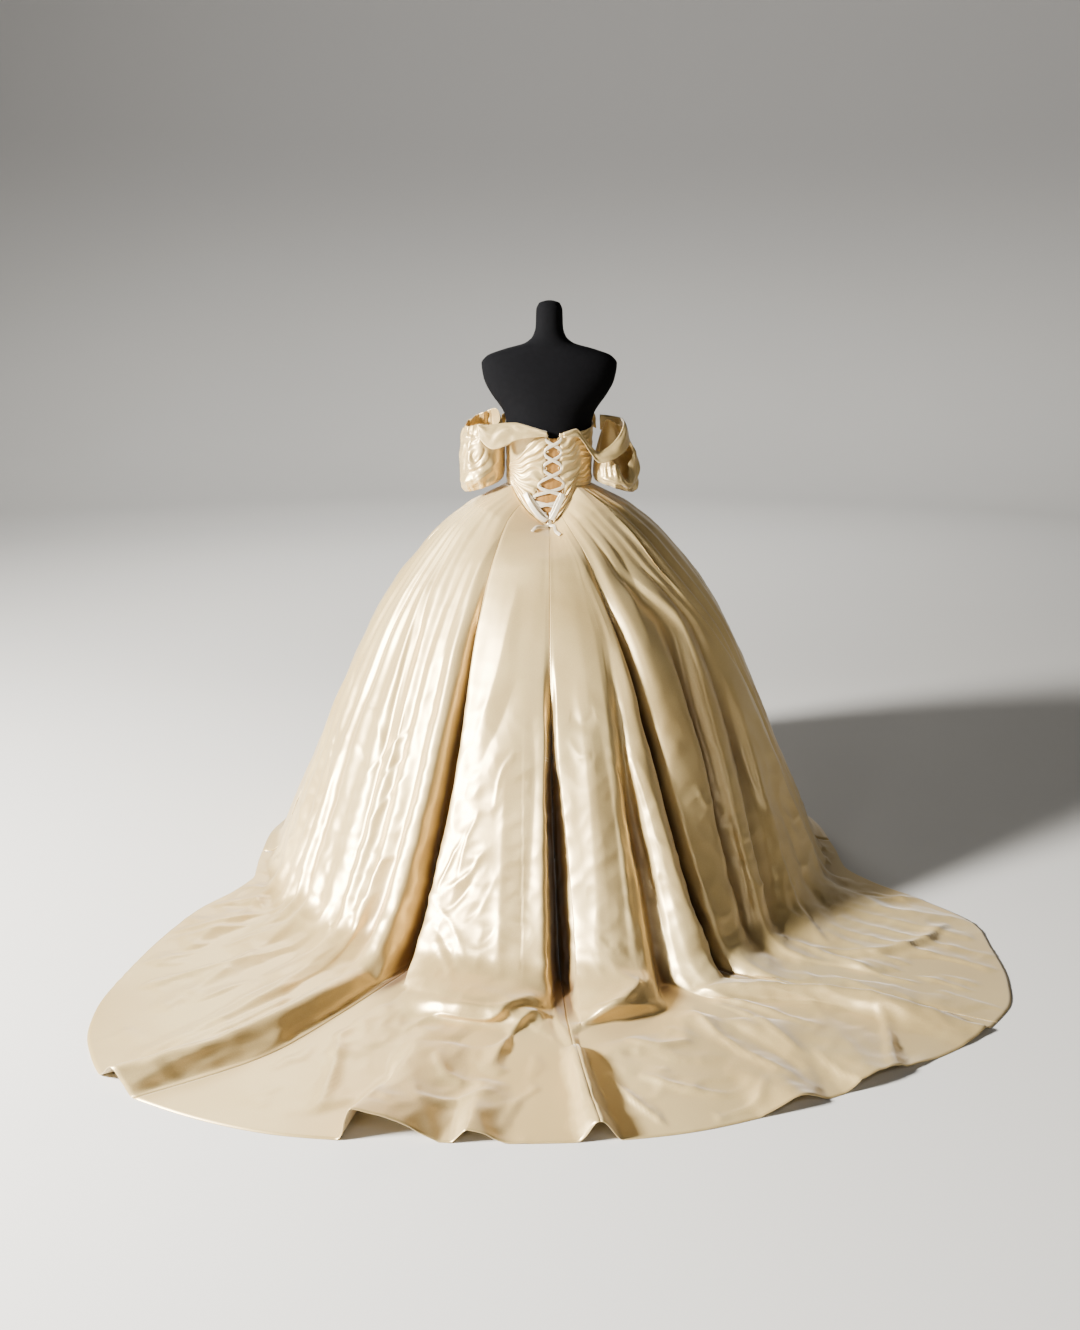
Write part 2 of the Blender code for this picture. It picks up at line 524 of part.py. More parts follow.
def make_back_panel(name, side):
    """A ruched back panel between the laced opening and the side back seam.

    Its folds start at the opening and run together at the waist of the side seam.
    """
    up = np.linspace(0.0, 1.0, 2 * RUCHE_COUNT + 1)
    opening = np.array(OPENING)
    height = V_TIP_HEIGHT + (bodice_top([0.0])[0] - V_TIP_HEIGHT) * up
    edge_x = smooth(opening[:, 0], opening[:, 1 if side < 0 else 2], height)
    edge = np.stack([azimuth_of(edge_x, height), height], axis=-1)
    seam = side * (SIDE_BACK_SEAM - math.degrees(BODICE_SEAM_GAP / 2.0 / WAIST_RADIUS))
    corner = -V_END_LEFT if side < 0 else V_END_RIGHT
    inner = np.linspace(edge[0, 0], corner, 7)
    low = np.concatenate([inner, np.linspace(corner, seam, 4)[1:]])
    across = (low - low[0]) / (low[-1] - low[0])
    bottom = np.stack([low, waist_point(low)[1]], axis=-1)
    high = edge[-1, 0] + (seam - edge[-1, 0]) * across
    top = np.stack([high, bodice_top(high)], axis=-1)
    rise = bottom[-1, 1] + (top[-1, 1] - bottom[-1, 1]) * up
    end = np.stack([np.full(len(up), seam), rise], axis=-1)
    edge[0] = bottom[0]
    edge[-1] = top[0]
    plan = patch(bottom, top, edge, end, across, up)
    fan = up[:, None] * (1.0 + 0.9 * across[None, :])
    from_opening = np.radians(np.abs(plan[..., 0] - edge[:, :1])) * WAIST_RADIUS
    from_seam = np.radians(np.abs(plan[..., 0] - seam)) * WAIST_RADIUS
    fade = 1.0 - bump(np.maximum(from_opening - FLAT_AT_OPENING, 0.0) / RUCHE_FADE)
    fade = fade * (1.0 - bump(np.maximum(from_seam - FLAT_AT_SEAM, 0.0) / RUCHE_FADE))
    fade = fade * (1.0 - bump(up[:, None] / 0.1)) * (1.0 - bump((1.0 - up[:, None]) / 0.1))
    folds = RUCHE_DEPTH * (0.5 - 0.5 * np.cos(2.0 * math.pi * RUCHE_COUNT * fan)) * fade
    plan[0, :, 1] += WAIST_SEAM_GAP / 2.0
    points = form_ring(plan[..., 0], plan[..., 1], BODICE_OFFSET + folds)
    cloth(name, points, BODICE_WALL, CHAMPAGNE, outward=side > 0)


def make_bodice_strip(name, first, last, columns):
    """A plain bodice panel between two azimuths, from the waist seam to the top edge."""
    gap = math.degrees(BODICE_SEAM_GAP / 2.0 / WAIST_RADIUS)
    azimuth = np.linspace(first + gap, last - gap, columns)
    up = np.linspace(0.0, 1.0, 7)[:, None]
    low = waist_point(azimuth)[1] + WAIST_SEAM_GAP / 2.0
    height = low + (bodice_top(azimuth) - low) * up
    points = form_ring(azimuth + 0.0 * height, height, BODICE_OFFSET + 0.0 * height)
    cloth(name, points, BODICE_WALL, CHAMPAGNE)


def make_back_inset():
    """The golden panel behind the lacing, lying on the form."""
    across = np.linspace(-1.0, 1.0, 11)
    up = np.linspace(0.0, 1.0, 9)
    height = (V_TIP_HEIGHT + 0.022) + (1.188 - V_TIP_HEIGHT - 0.022) * up
    half = smooth((0.0, 0.25, 0.5, 1.0), (0.026, 0.062, 0.066, 0.046), up)
    x = half[:, None] * across[None, :] + 0.006
    rows = height[:, None] + 0.0 * x
    points = form_ring(azimuth_of(x, rows), rows, INSET_OFFSET + INSET_WALL + 0.0 * x)
    cloth("back_inset", points, INSET_WALL, GOLD)


def strip(name, x, height, lift, spread, wall, colour):
    """A ribbon along places on the back, a lift off the bodice, spread to both its sides."""
    edges = []
    for side in (-0.5, 0.5):
        rise = height + side * spread[1]
        azimuth = azimuth_of(x + side * spread[0], rise)
        edges.append(form_ring(azimuth, rise, BODICE_OFFSET + lift))
    cloth(name, np.stack(edges, axis=0), wall, colour, offset=0.0)


def make_lacing():
    """Two flat ribbons that cross between the edges of the opening, one over the other."""
    turns = np.array(LACING_TURNS)
    opening = np.array(OPENING)
    for name, first in (("lacing_ribbon_under", -1.0), ("lacing_ribbon_over", 1.0)):
        place = np.linspace(0.0, turns[-1, 0], 78)
        height = smooth(turns[:, 0], turns[:, 1], place)
        left = smooth(opening[:, 0], opening[:, 1], height) - 0.004
        right = smooth(opening[:, 0], opening[:, 2], height) + 0.004
        swing = first * np.tanh(TURN_FLATNESS * np.cos(math.pi * place)) / math.tanh(TURN_FLATNESS)
        x = (left + right) / 2.0 + swing * (right - left) / 2.0
        run = np.gradient(x)
        drop = np.gradient(height)
        length = np.hypot(run, drop)
        width = RIBBON_WIDTH * (1.0 - TURN_PINCH * swing ** 6) / length
        spread = (-drop * width, run * width)
        lift = RIBBON_LIFT + (CROSSING_STEP if first > 0.0 else 0.0)
        strip(name, x, height, lift, spread, RIBBON_WALL, IVORY)


def make_bow():
    """Ribbon loops and the knot at the point of the laced opening."""
    for name, side, reach, rise, curve in BOW_LOOPS:
        turn = np.linspace(0.06, 0.94, 17) * 2.0 * math.pi
        out = 0.5 - 0.5 * np.cos(turn)
        x = side * (0.004 + (reach - 0.004) * out)
        height = 0.975 + rise * out ** curve + 0.006 * np.sin(turn)
        lift = BOW_LIFT - BOW_LIFT_SWING * np.sin(turn)
        run = side * (reach - 0.004)
        climb = rise * curve * np.maximum(out, 0.12) ** (curve - 1.0)
        length = np.hypot(run, climb)
        spread = (-climb / length * BOW_WIDTH, run / length * BOW_WIDTH)
        strip(name, x, height, lift, spread, RIBBON_WALL, IVORY)
    for name, x, height, size, depth, beneath in (
            ("lacing_knot", -0.0005, 0.9750, 0.0065, 0.76, INSET_OFFSET + INSET_WALL),
            ("lacing_top_tab", -0.0090, 1.1955, 0.0055, 0.5, BODICE_OFFSET)):
        centre = form_ring(azimuth_of(x, height), np.array(height),
                           np.array(beneath + TRIM_GAP + size * depth))
        shape = bmesh.new()
        bmesh.ops.create_icosphere(shape, subdivisions=2, radius=size)
        bmesh.ops.scale(shape, vec=(1.15, depth, 0.8), verts=shape.verts)
        bmesh.ops.translate(shape, vec=centre.tolist(), verts=shape.verts)
        mesh = bpy.data.meshes.new(name)
        shape.to_mesh(mesh)
        shape.free()
        mesh.shade_smooth()
        add_object(name, mesh, IVORY, 0.45)


def make_sleeve(name, side, rim, middle, narrow):
    """A gathered puff sleeve, open above and below, between its top rim and a tilted foot."""
    turned = np.arange(SLEEVE_COLUMNS) * 360.0 / SLEEVE_COLUMNS
    rim = np.array(rim)
    upper = smooth(rim[:, 0], rim[:, 1], (turned + 90.0) % 360.0 - 90.0)
    angle = side * np.radians(turned)
    down = np.array(SLEEVE_ROWS)[:, None]
    shape = np.array(SLEEVE_SHAPE)
    size = smooth(shape[:, 0], shape[:, 1], down.ravel())[:, None]
    size = size * (1.0 - (1.0 - narrow) * bump(down / 0.6))
    away = side * np.sin(angle)
    height = upper + (SLEEVE_FOOT - SLEEVE_FOOT_TILT * away - upper) * down
    free = np.clip(0.9 + away, 0.0, 1.0)
    rims = bump(down / 0.45) + bump((1.0 - down) / 0.35) + 0.35
    wave = SLEEVE_GATHER_DEPTH * rims * free * np.cos(SLEEVE_GATHERS * angle)
    x = side * SLEEVE_X + (SLEEVE_HALF_WIDTH * size + wave) * np.sin(angle)
    y = middle - (SLEEVE_HALF_DEPTH * size + wave) * np.cos(angle)
    points = np.stack([x, y, height], axis=-1)
    cloth(name, points, SATIN, CHAMPAGNE, closed=True, outward=side < 0.0)


def make_band(name, rows, columns):
    """A folded band: an inner leg, a rolled top and an outer leg that flares at its edge."""
    rows = np.array(rows)
    place = np.linspace(0.0, len(rows) - 1.0, columns)
    read = smooth(np.arange(len(rows)), rows, place)
    path = form_ring(read[:, 0], np.full(columns, BAND_LEVEL), read[:, 1])
    along = np.gradient(path[:, :2], axis=0)
    along = along / np.linalg.norm(along, axis=-1, keepdims=True)
    turn = 1.0 if rows[-1, 0] > rows[0, 0] else -1.0
    outward = turn * np.stack([along[:, 1], -along[:, 0]], axis=-1)
    points = []
    for reach, flare, drop in BAND_SECTION:
        out = (reach + flare * read[:, 4])[:, None]
        level = (read[:, 2] - drop * read[:, 3])[:, None]
        points.append(np.concatenate([path[:, :2] + outward * out, level], axis=-1))
    cloth(name, np.stack(points), SATIN, CHAMPAGNE, outward=turn < 0.0, offset=0.0)


def skirt_lines():
    """Azimuths and heights of all fold lines, once round from the left side seam."""
    azimuths = [line[1] for line in FOLDS]
    heights = [(0.0,) + line[2] for line in FOLDS]
    first = np.array(FOLDS[-1][1], dtype=float)
    last = np.array(FOLDS[0][1], dtype=float) + 360.0
    for k in range(FRONT_PLEATS):
        share = (k + 1.0 + 0.18 * math.sin(2.3 * k)) / (FRONT_PLEATS + 1.0)
        azimuths.append(first + (last - first) * share)
        size = 1.0 + 0.3 * math.sin(1.7 * k + 0.5)
        deep = FRONT_PLEAT_HEIGHT if k % 2 == 0 else FRONT_PLEAT_DEPTH
        foot = 0.6 * FRONT_PLEAT_HEIGHT if k % 2 == 0 else 0.0
        heights.append((0.0, 0.5 * deep, 0.8 * deep, size * deep, size * deep, deep, foot, foot))
    return np.array(azimuths, dtype=float), np.array(heights, dtype=float) * MM


def skirt_grid(columns, rows):
    """Points of the skirt's outer face on a grid of fold columns and profile rows.

    A column is a place between the numbered fold lines.  A row is a place down the cloth:
    0 is the waist seam, 12 is where the cloth meets the floor, 16 is the hem of the train.
    """
    azimuths, heights = skirt_lines()
    count = len(azimuths)
    order = np.arange(-3, count + 4)
    turns = np.floor_divide(order, count) * 360.0
    wrapped = azimuths[order % count] + turns[:, None]
    lift = heights[order % count]
    columns = np.asarray(columns, dtype=float)
    rows = np.asarray(rows, dtype=float)
    azimuth = smooth(FOLD_ROWS, smooth(order, wrapped, columns).T, rows)
    height = smooth(FOLD_ROWS, smooth(order, lift, columns).T, rows)
    return skirt_surface(azimuth, rows[:, None] + 0.0 * azimuth, height)


def skirt_surface(azimuth, row, height):
    """A point of the skirt for an azimuth, a row down the cloth and a height off the form.

    The plain skirt is an oval bell whose half width and depths come from SKIRT_ROWS, laid on
    the floor from row 12 to the hem.  The height moves a point along the fold direction,
    which leans from outward on the bell to upward on the floor.
    """
    angle = np.radians(azimuth)
    table = np.array(SKIRT_ROWS)
    point, seam = waist_point(azimuth)
    soft = point * point * (3.0 - 2.0 * point)
    seam_point = form_ring(azimuth, seam - WAIST_SEAM_GAP / 2.0, BODICE_OFFSET + 0.0 * azimuth)
    knots = np.concatenate([[0.0], table[:, 0]])
    shape = smooth(table[:, 0], table[:, 1:], np.clip(row, 1.0, FLOOR_ROW).ravel())
    shape = shape.reshape(row.shape + (6,))
    bell_height = shape[..., 0] - shape[..., 1] * soft
    depth = np.where(np.cos(angle) > 0.0, shape[..., 3], shape[..., 4])
    bell = np.stack([shape[..., 2] * np.sin(angle), -depth * np.cos(angle), bell_height], axis=-1)
    top = np.clip(1.0 - row, 0.0, 1.0)[..., None]
    bell = bell * (1.0 - top) + seam_point * top

    hem = np.array(HEM)
    turned = (azimuth + 180.0) % 360.0 - 180.0
    far = smooth(hem[:, 0], hem[:, 1], turned.ravel()).reshape(row.shape)
    hem_point = np.stack([far * np.sin(angle), -far * np.cos(angle), 0.0 * far], axis=-1)
    out = np.clip((row - FLOOR_ROW) / (HEM_ROW - FLOOR_ROW), 0.0, 1.0)[..., None]
    base = bell * (1.0 - out) + hem_point * out

    lean = smooth(knots, np.concatenate([[62.0], table[:, 6]]), np.minimum(row, FLOOR_ROW).ravel())
    train = smooth((12.0, 12.5, 13.0, 16.0), (0.0, 0.7, 1.0, 1.0), np.maximum(row, 12.0).ravel())
    laid = np.clip((far - np.linalg.norm(bell[..., :2], axis=-1)) / LONG_TRAIN, 0.0, 1.0)
    lean = lean.reshape(row.shape)
    lean = np.radians(lean + (90.0 - lean) * train.reshape(row.shape) * laid)
    outward = np.stack([np.sin(angle) / shape[..., 2], -np.cos(angle) / depth], axis=-1)
    outward = outward / np.linalg.norm(outward, axis=-1, keepdims=True)
    base[..., :2] += outward * (height * np.cos(lean))[..., None]
    base[..., 2] += height * np.sin(lean)

    for middle, half, reach, rise in FLOOR_ROLLS:
        near = bump((azimuth - middle) / half) ** 0.5
        swell = near * bump((row - 11.9) / 1.6)
        tuck = near * bump((row - 12.75) / 0.7)
        base[..., :2] += outward * (reach * swell - 0.6 * reach * tuck)[..., None]
        base[..., 2] += rise * swell - rise * 0.75 * tuck
    base[..., 2] = np.maximum(base[..., 2], SATIN)
    return base


def skirt_columns():
    """Every fold line, and behind a column half way between two that stand wide apart."""
    count = len(FOLDS) + FRONT_PLEATS
    lines = np.arange(count + 1, dtype=float)
    wide = np.linalg.norm(np.diff(skirt_grid(lines, (7.0, 14.0)), axis=1), axis=-1).max(axis=0)
    wide[len(FOLDS) - 1:] = 0.0
    halves = lines[:-1][wide > WIDE_COLUMN] + 0.5
    return np.sort(np.concatenate([lines[:-1], halves]))


def cloth_normals(points):
    """Outward normals of a surface that closes on itself from its last column to its first."""
    across = np.roll(points, -1, axis=1) - np.roll(points, 1, axis=1)
    down = np.gradient(points, axis=0)
    normals = np.cross(down, across)
    return normals / np.linalg.norm(normals, axis=-1, keepdims=True)


def make_skirt():
    """Five gores, each from seam to seam, cut out of the one folded surface.

    Both gores at a seam take their thickness along the same normals, so the seam keeps its
    gap on ridges and in troughs alike.
    """
    names = [line[0] for line in FOLDS]
    columns = skirt_columns()
    outer = skirt_grid(columns, CAD_ROWS)
    inner = outer - SATIN * cloth_normals(outer)
    inner[..., 2] = np.maximum(inner[..., 2], 0.0)
    for gore, first, last in GORES:
        start = int(np.searchsorted(columns, names.index(first)))
        end = int(np.searchsorted(columns, names.index(last)))
        if end < start:
            end += len(columns)
        used = np.arange(start, end + 1) % len(columns)
        front = outer[:, used]
        back = inner[:, used]
        for edge, side in ((0, 1.0), (-1, -1.0)):
            step = side * half_gap(outer, used[edge])
            front[:, edge] += step
            back[:, edge] += step
        gore_wall(gore, front, back)


def half_gap(points, column):
    """Half a seam gap along the cloth at a column, from the column before it to the next."""
    before = points[:, column - 1]
    after = points[:, (column + 1) % points.shape[1]]
    across = after - before
    return across * (SEAM_GAP / 2.0) / np.linalg.norm(across, axis=-1, keepdims=True)


def gore_wall(name, outer, inner):
    """A closed wall between an outer and an inner grid, with a rim on its four sides.

    Both grids are split along the same diagonals, so the wall keeps its thickness where a
    fold twists the cloth.
    """
    rows, columns = outer.shape[:2]
    count = rows * columns
    index = np.arange(count).reshape(rows, columns)
    quads = grid_faces(rows, columns, False)
    faces = np.concatenate([quads[:, [0, 1, 2]], quads[:, [0, 2, 3]]])
    rim = np.concatenate([index[0, :], index[1:, -1], index[-1, -2::-1], index[-2::-1, 0]])
    near = np.stack([rim[:-1], rim[1:], rim[1:] + count], axis=-1)
    far = np.stack([rim[:-1], rim[1:] + count, rim[:-1] + count], axis=-1)
    everything = np.concatenate([faces[:, ::-1], faces + count, near, far])
    points = np.concatenate([outer.reshape(-1, 3), inner.reshape(-1, 3)])
    mesh = bpy.data.meshes.new(name)
    mesh.from_pydata(points.tolist(), [], everything.tolist())
    mesh.update()
    mesh.shade_smooth()
    add_object(name, mesh, CHAMPAGNE, 0.42)


def main():
    for old in list(bpy.data.objects):
        bpy.data.objects.remove(old, do_unlink=True)
    collection = bpy.data.collections.new(COLLECTION)
    bpy.context.scene.collection.children.link(collection)
    make_form()
    make_stand()
    make_back_inset()
    make_back_panel("bodice_back_left", -1.0)
    make_back_panel("bodice_back_right", 1.0)
    make_bodice_strip("bodice_side_right", SIDE_BACK_SEAM, SIDE_FRONT_SEAM, 5)
    make_bodice_strip("bodice_front", SIDE_FRONT_SEAM, 360.0 - SIDE_FRONT_SEAM, 19)
    make_bodice_strip("bodice_side_left", 360.0 - SIDE_FRONT_SEAM, 360.0 - SIDE_BACK_SEAM, 5)
    make_lacing()
    make_bow()
    make_sleeve("sleeve_left", -1.0, SLEEVE_TOP_LEFT, SLEEVE_Y_LEFT, SLEEVE_RIM_LEFT)
    make_sleeve("sleeve_right", 1.0, SLEEVE_TOP_RIGHT, SLEEVE_Y_RIGHT, SLEEVE_RIM_RIGHT)
    make_band("shoulder_band_left", BAND_LEFT, 17)
    make_band("shoulder_band_right", BAND_RIGHT, 23)
    make_band("shoulder_band_front", BAND_FRONT, 21)
    make_skirt()


main()
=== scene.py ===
"""Looks of a quinceanera dress on its dress form, seen from behind.

Metres, +Z up.  The origin is on the floor under the form's pole, +Y is the front of the
dress, -Y its back with the train, and +X is the wearer's right.  An azimuth is in degrees
round the pole: 0 at the centre back, growing toward the wearer's right.

Each cloth piece is a grid of points that a function of two parameters gives, with its
creases added as soft troughs and ridges along the surface's own normals.
"""
import math

import bpy
import numpy as np
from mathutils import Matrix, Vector


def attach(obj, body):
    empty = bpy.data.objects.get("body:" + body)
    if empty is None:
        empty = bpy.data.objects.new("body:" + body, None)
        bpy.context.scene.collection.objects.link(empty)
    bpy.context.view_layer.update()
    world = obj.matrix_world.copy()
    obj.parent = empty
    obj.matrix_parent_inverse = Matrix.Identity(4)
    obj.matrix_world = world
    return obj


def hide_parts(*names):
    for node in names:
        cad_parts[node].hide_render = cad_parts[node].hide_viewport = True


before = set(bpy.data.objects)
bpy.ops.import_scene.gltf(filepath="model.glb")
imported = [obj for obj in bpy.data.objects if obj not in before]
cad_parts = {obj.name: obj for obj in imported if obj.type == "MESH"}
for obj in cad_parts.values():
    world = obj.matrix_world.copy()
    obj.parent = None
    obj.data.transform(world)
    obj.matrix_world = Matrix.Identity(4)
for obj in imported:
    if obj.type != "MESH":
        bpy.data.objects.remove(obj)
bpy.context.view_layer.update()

MM = 0.001

# Cloth walls and gaps
SATIN = 1.5 * MM
BODICE_WALL = 1.6 * MM
RIBBON_WALL = 0.8 * MM
SEAM_GAP = 0.3 * MM
BODICE_SEAM_GAP = 0.85 * MM
WAIST_SEAM_GAP = 0.5 * MM

# Dress form: height, half width, depth behind the pole, depth before it
FORM_RINGS = (
    (0.790, 0.138, 0.096, 0.088),
    (0.880, 0.156, 0.113, 0.103),
    (0.950, 0.144, 0.111, 0.097),
    (1.010, 0.122, 0.100, 0.087),
    (1.060, 0.112, 0.090, 0.082),
    (1.120, 0.112, 0.090, 0.093),
    (1.180, 0.113, 0.092, 0.112),
    (1.216, 0.115, 0.091, 0.116),
    (1.250, 0.123, 0.088, 0.108),
    (1.270, 0.135, 0.086, 0.101),
    (1.300, 0.157, 0.081, 0.088),
    (1.340, 0.177, 0.073, 0.072),
    (1.380, 0.183, 0.060, 0.056),
    (1.400, 0.168, 0.053, 0.048),
    (1.418, 0.120, 0.048, 0.043),
    (1.434, 0.064, 0.042, 0.040),
    (1.452, 0.044, 0.037, 0.037),
    (1.475, 0.037, 0.035, 0.035),
    (1.520, 0.035, 0.033, 0.033),
    (1.536, 0.028, 0.026, 0.026),
)
FORM_TOP = 1.543
FORM_SQUARENESS = 2.2

# Bodice: how far its layers stand off the form
INSET_OFFSET = 1.1 * MM
INSET_WALL = 1.0 * MM
INSET_FOOT = 0.959
INSET_TOP = 1.188
INSET_MIDDLE = 0.006
# Golden panel: share of the way up, half width
INSET_HALF_WIDTH = ((0.0, 0.014), (0.3, 0.062), (0.55, 0.066), (1.0, 0.046))
BODICE_OFFSET = 5.0 * MM
WAIST_HEIGHT = 1.060
V_TIP_HEIGHT = 0.953
V_END_LEFT = 58.0
V_END_RIGHT = 36.0
SIDE_BACK_SEAM = 74.0
SIDE_FRONT_SEAM = 106.0
WAIST_RADIUS = 0.11
# Half a seam gap of the bodice in degrees
SEAM_TURN = math.degrees(BODICE_SEAM_GAP / 2.0 / WAIST_RADIUS)

# Top edge of the bodice: azimuth, height
BODICE_TOP = (
    (0.0, 1.200),
    (30.0, 1.203),
    (60.0, 1.210),
    (90.0, 1.222),
    (120.0, 1.236),
    (150.0, 1.246),
    (168.0, 1.240),
    (180.0, 1.226),
)

# Laced opening at the centre back: height, left edge, right edge
OPENING = (
    (0.953, -0.002, 0.002),
    (0.985, -0.020, 0.013),
    (1.020, -0.044, 0.032),
    (1.050, -0.034, 0.040),
    (1.085, -0.014, 0.030),
    (1.130, -0.010, 0.028),
    (1.200, -0.004, 0.027),
)
# Height of each turn of the lacing at an edge of the opening, and of its end at the knot
LACING_TURNS = ((0.0, 1.190), (1.0, 1.151), (2.0, 1.110), (3.0, 1.068), (4.0, 1.028), (5.0, 0.999),
                (5.45, 0.988))
# Eyelet loops: heights of the first and last, how many at an edge, how far under the edge
# they begin, their reach past that, half their height, and the radius of their cord
EYELET_HEIGHTS = (1.186, 0.985)
EYELET_COUNT = 14
EYELET_INSET = 2.0 * MM
EYELET_REACH = 6.8 * MM
EYELET_RISE = 4.8 * MM
EYELET_RADIUS = 0.95 * MM
# A direction that no tube runs in
TUBE_UP = (0.31, 0.17, 0.93)
RIBBON_WIDTH = 8.5 * MM
BOW_WIDTH = 12.0 * MM
# Loops of the bow: name, side, reach sideways, rise above the knot, curve of the rise
BOW_LOOPS = (
    ("bow_loop_left", -1.0, 0.060, 0.068, 1.45),
    ("bow_loop_right", 1.0, 0.034, 0.066, 1.0),
)
RIBBON_LIFT = 1.75 * MM
CROSSING_STEP = 1.3 * MM
TURN_FLATNESS = 0.8
TURN_PINCH = 0.5
LACING_MARGIN = 0.004
LACING_CUP = 0.3 * MM
# Bow: where its loops begin beside the middle and above the floor, how far each is open,
# how far it stands off the bodice and how much of that changes round the loop
BOW_START = 0.004
BOW_HEIGHT = 0.975
BOW_OPENING = 0.006
BOW_LIFT = 9.0 * MM
BOW_LIFT_SWING = 4.5 * MM
# Places across a ribbon, in shares of its width
RIBBON_LANES = np.linspace(-0.5, 0.5, 7)
# Free ends: width, cup, then where they leave the knot (sideways, height, lift)
TAIL_WIDTH = 9.0 * MM
TAIL_CUP = 0.8 * MM
TAIL_START = (0.001, 0.971, 6.0 * MM)
# Ruching of the back panels: folds from the point to the top edge, and their height
RUCHE_COUNT = 9.2
RUCHE_LIFT = 4.8 * MM

# Skirt profile rows: row, height at the free waist, drop under the back point,
# half width, depth behind, depth before, lean of the fold direction in degrees
SKIRT_ROWS = (
    (1.0, 1.006, 0.066, 0.222, 0.174, 0.190, 62.0),
    (2.0, 0.946, 0.034, 0.296, 0.240, 0.262, 50.0),
    (3.0, 0.870, 0.000, 0.365, 0.306, 0.325, 42.0),
    (4.0, 0.790, 0.000, 0.429, 0.370, 0.384, 36.0),
    (5.0, 0.700, 0.000, 0.487, 0.432, 0.437, 32.0),
    (6.0, 0.580, 0.000, 0.546, 0.508, 0.492, 28.0),
    (7.0, 0.450, 0.000, 0.605, 0.588, 0.543, 26.0),
    (8.0, 0.320, 0.000, 0.660, 0.670, 0.594, 25.0),
    (9.0, 0.200, 0.000, 0.714, 0.750, 0.642, 24.0),
    (10.0, 0.100, 0.000, 0.758, 0.828, 0.682, 22.0),
    (11.0, 0.036, 0.000, 0.784, 0.890, 0.708, 20.0),
    (12.0, 0.004, 0.000, 0.803, 0.952, 0.726, 28.0),
)
FLOOR_ROW = 12.0
HEM_ROW = 16.0

# Hem on the floor: azimuth, distance from the pole
HEM = (
    (-180.0, 0.750),
    (-150.0, 0.776),
    (-120.0, 0.814),
    (-95.0, 0.832),
    (-80.0, 0.846),
    (-72.0, 0.862),
    (-67.0, 0.925),
    (-63.0, 1.030),
    (-59.0, 1.115),
    (-52.0, 1.270),
    (-47.0, 1.390),
    (-42.0, 1.470),
    (-35.0, 1.520),
    (-30.0, 1.510),
    (-22.0, 1.485),
    (-15.0, 1.450),
    (-8.0, 1.420),
    (0.0, 1.408),
    (10.0, 1.402),
    (20.0, 1.388),
    (30.0, 1.384),
    (41.0, 1.402),
    (47.0, 1.396),
    (52.0, 1.355),
    (58.0, 1.280),
    (63.0, 1.220),
    (67.0, 1.085),
    (71.0, 0.940),
    (76.0, 0.862),
    (95.0, 0.832),
    (120.0, 0.814),
    (150.0, 0.776),
    (180.0, 0.750),
)

# Rows of the skirt at which the fold table below gives azimuths and heights
FOLD_ROWS = (0.0, 3.0, 5.0, 7.0, 9.0, 12.0, 14.0, 16.0)

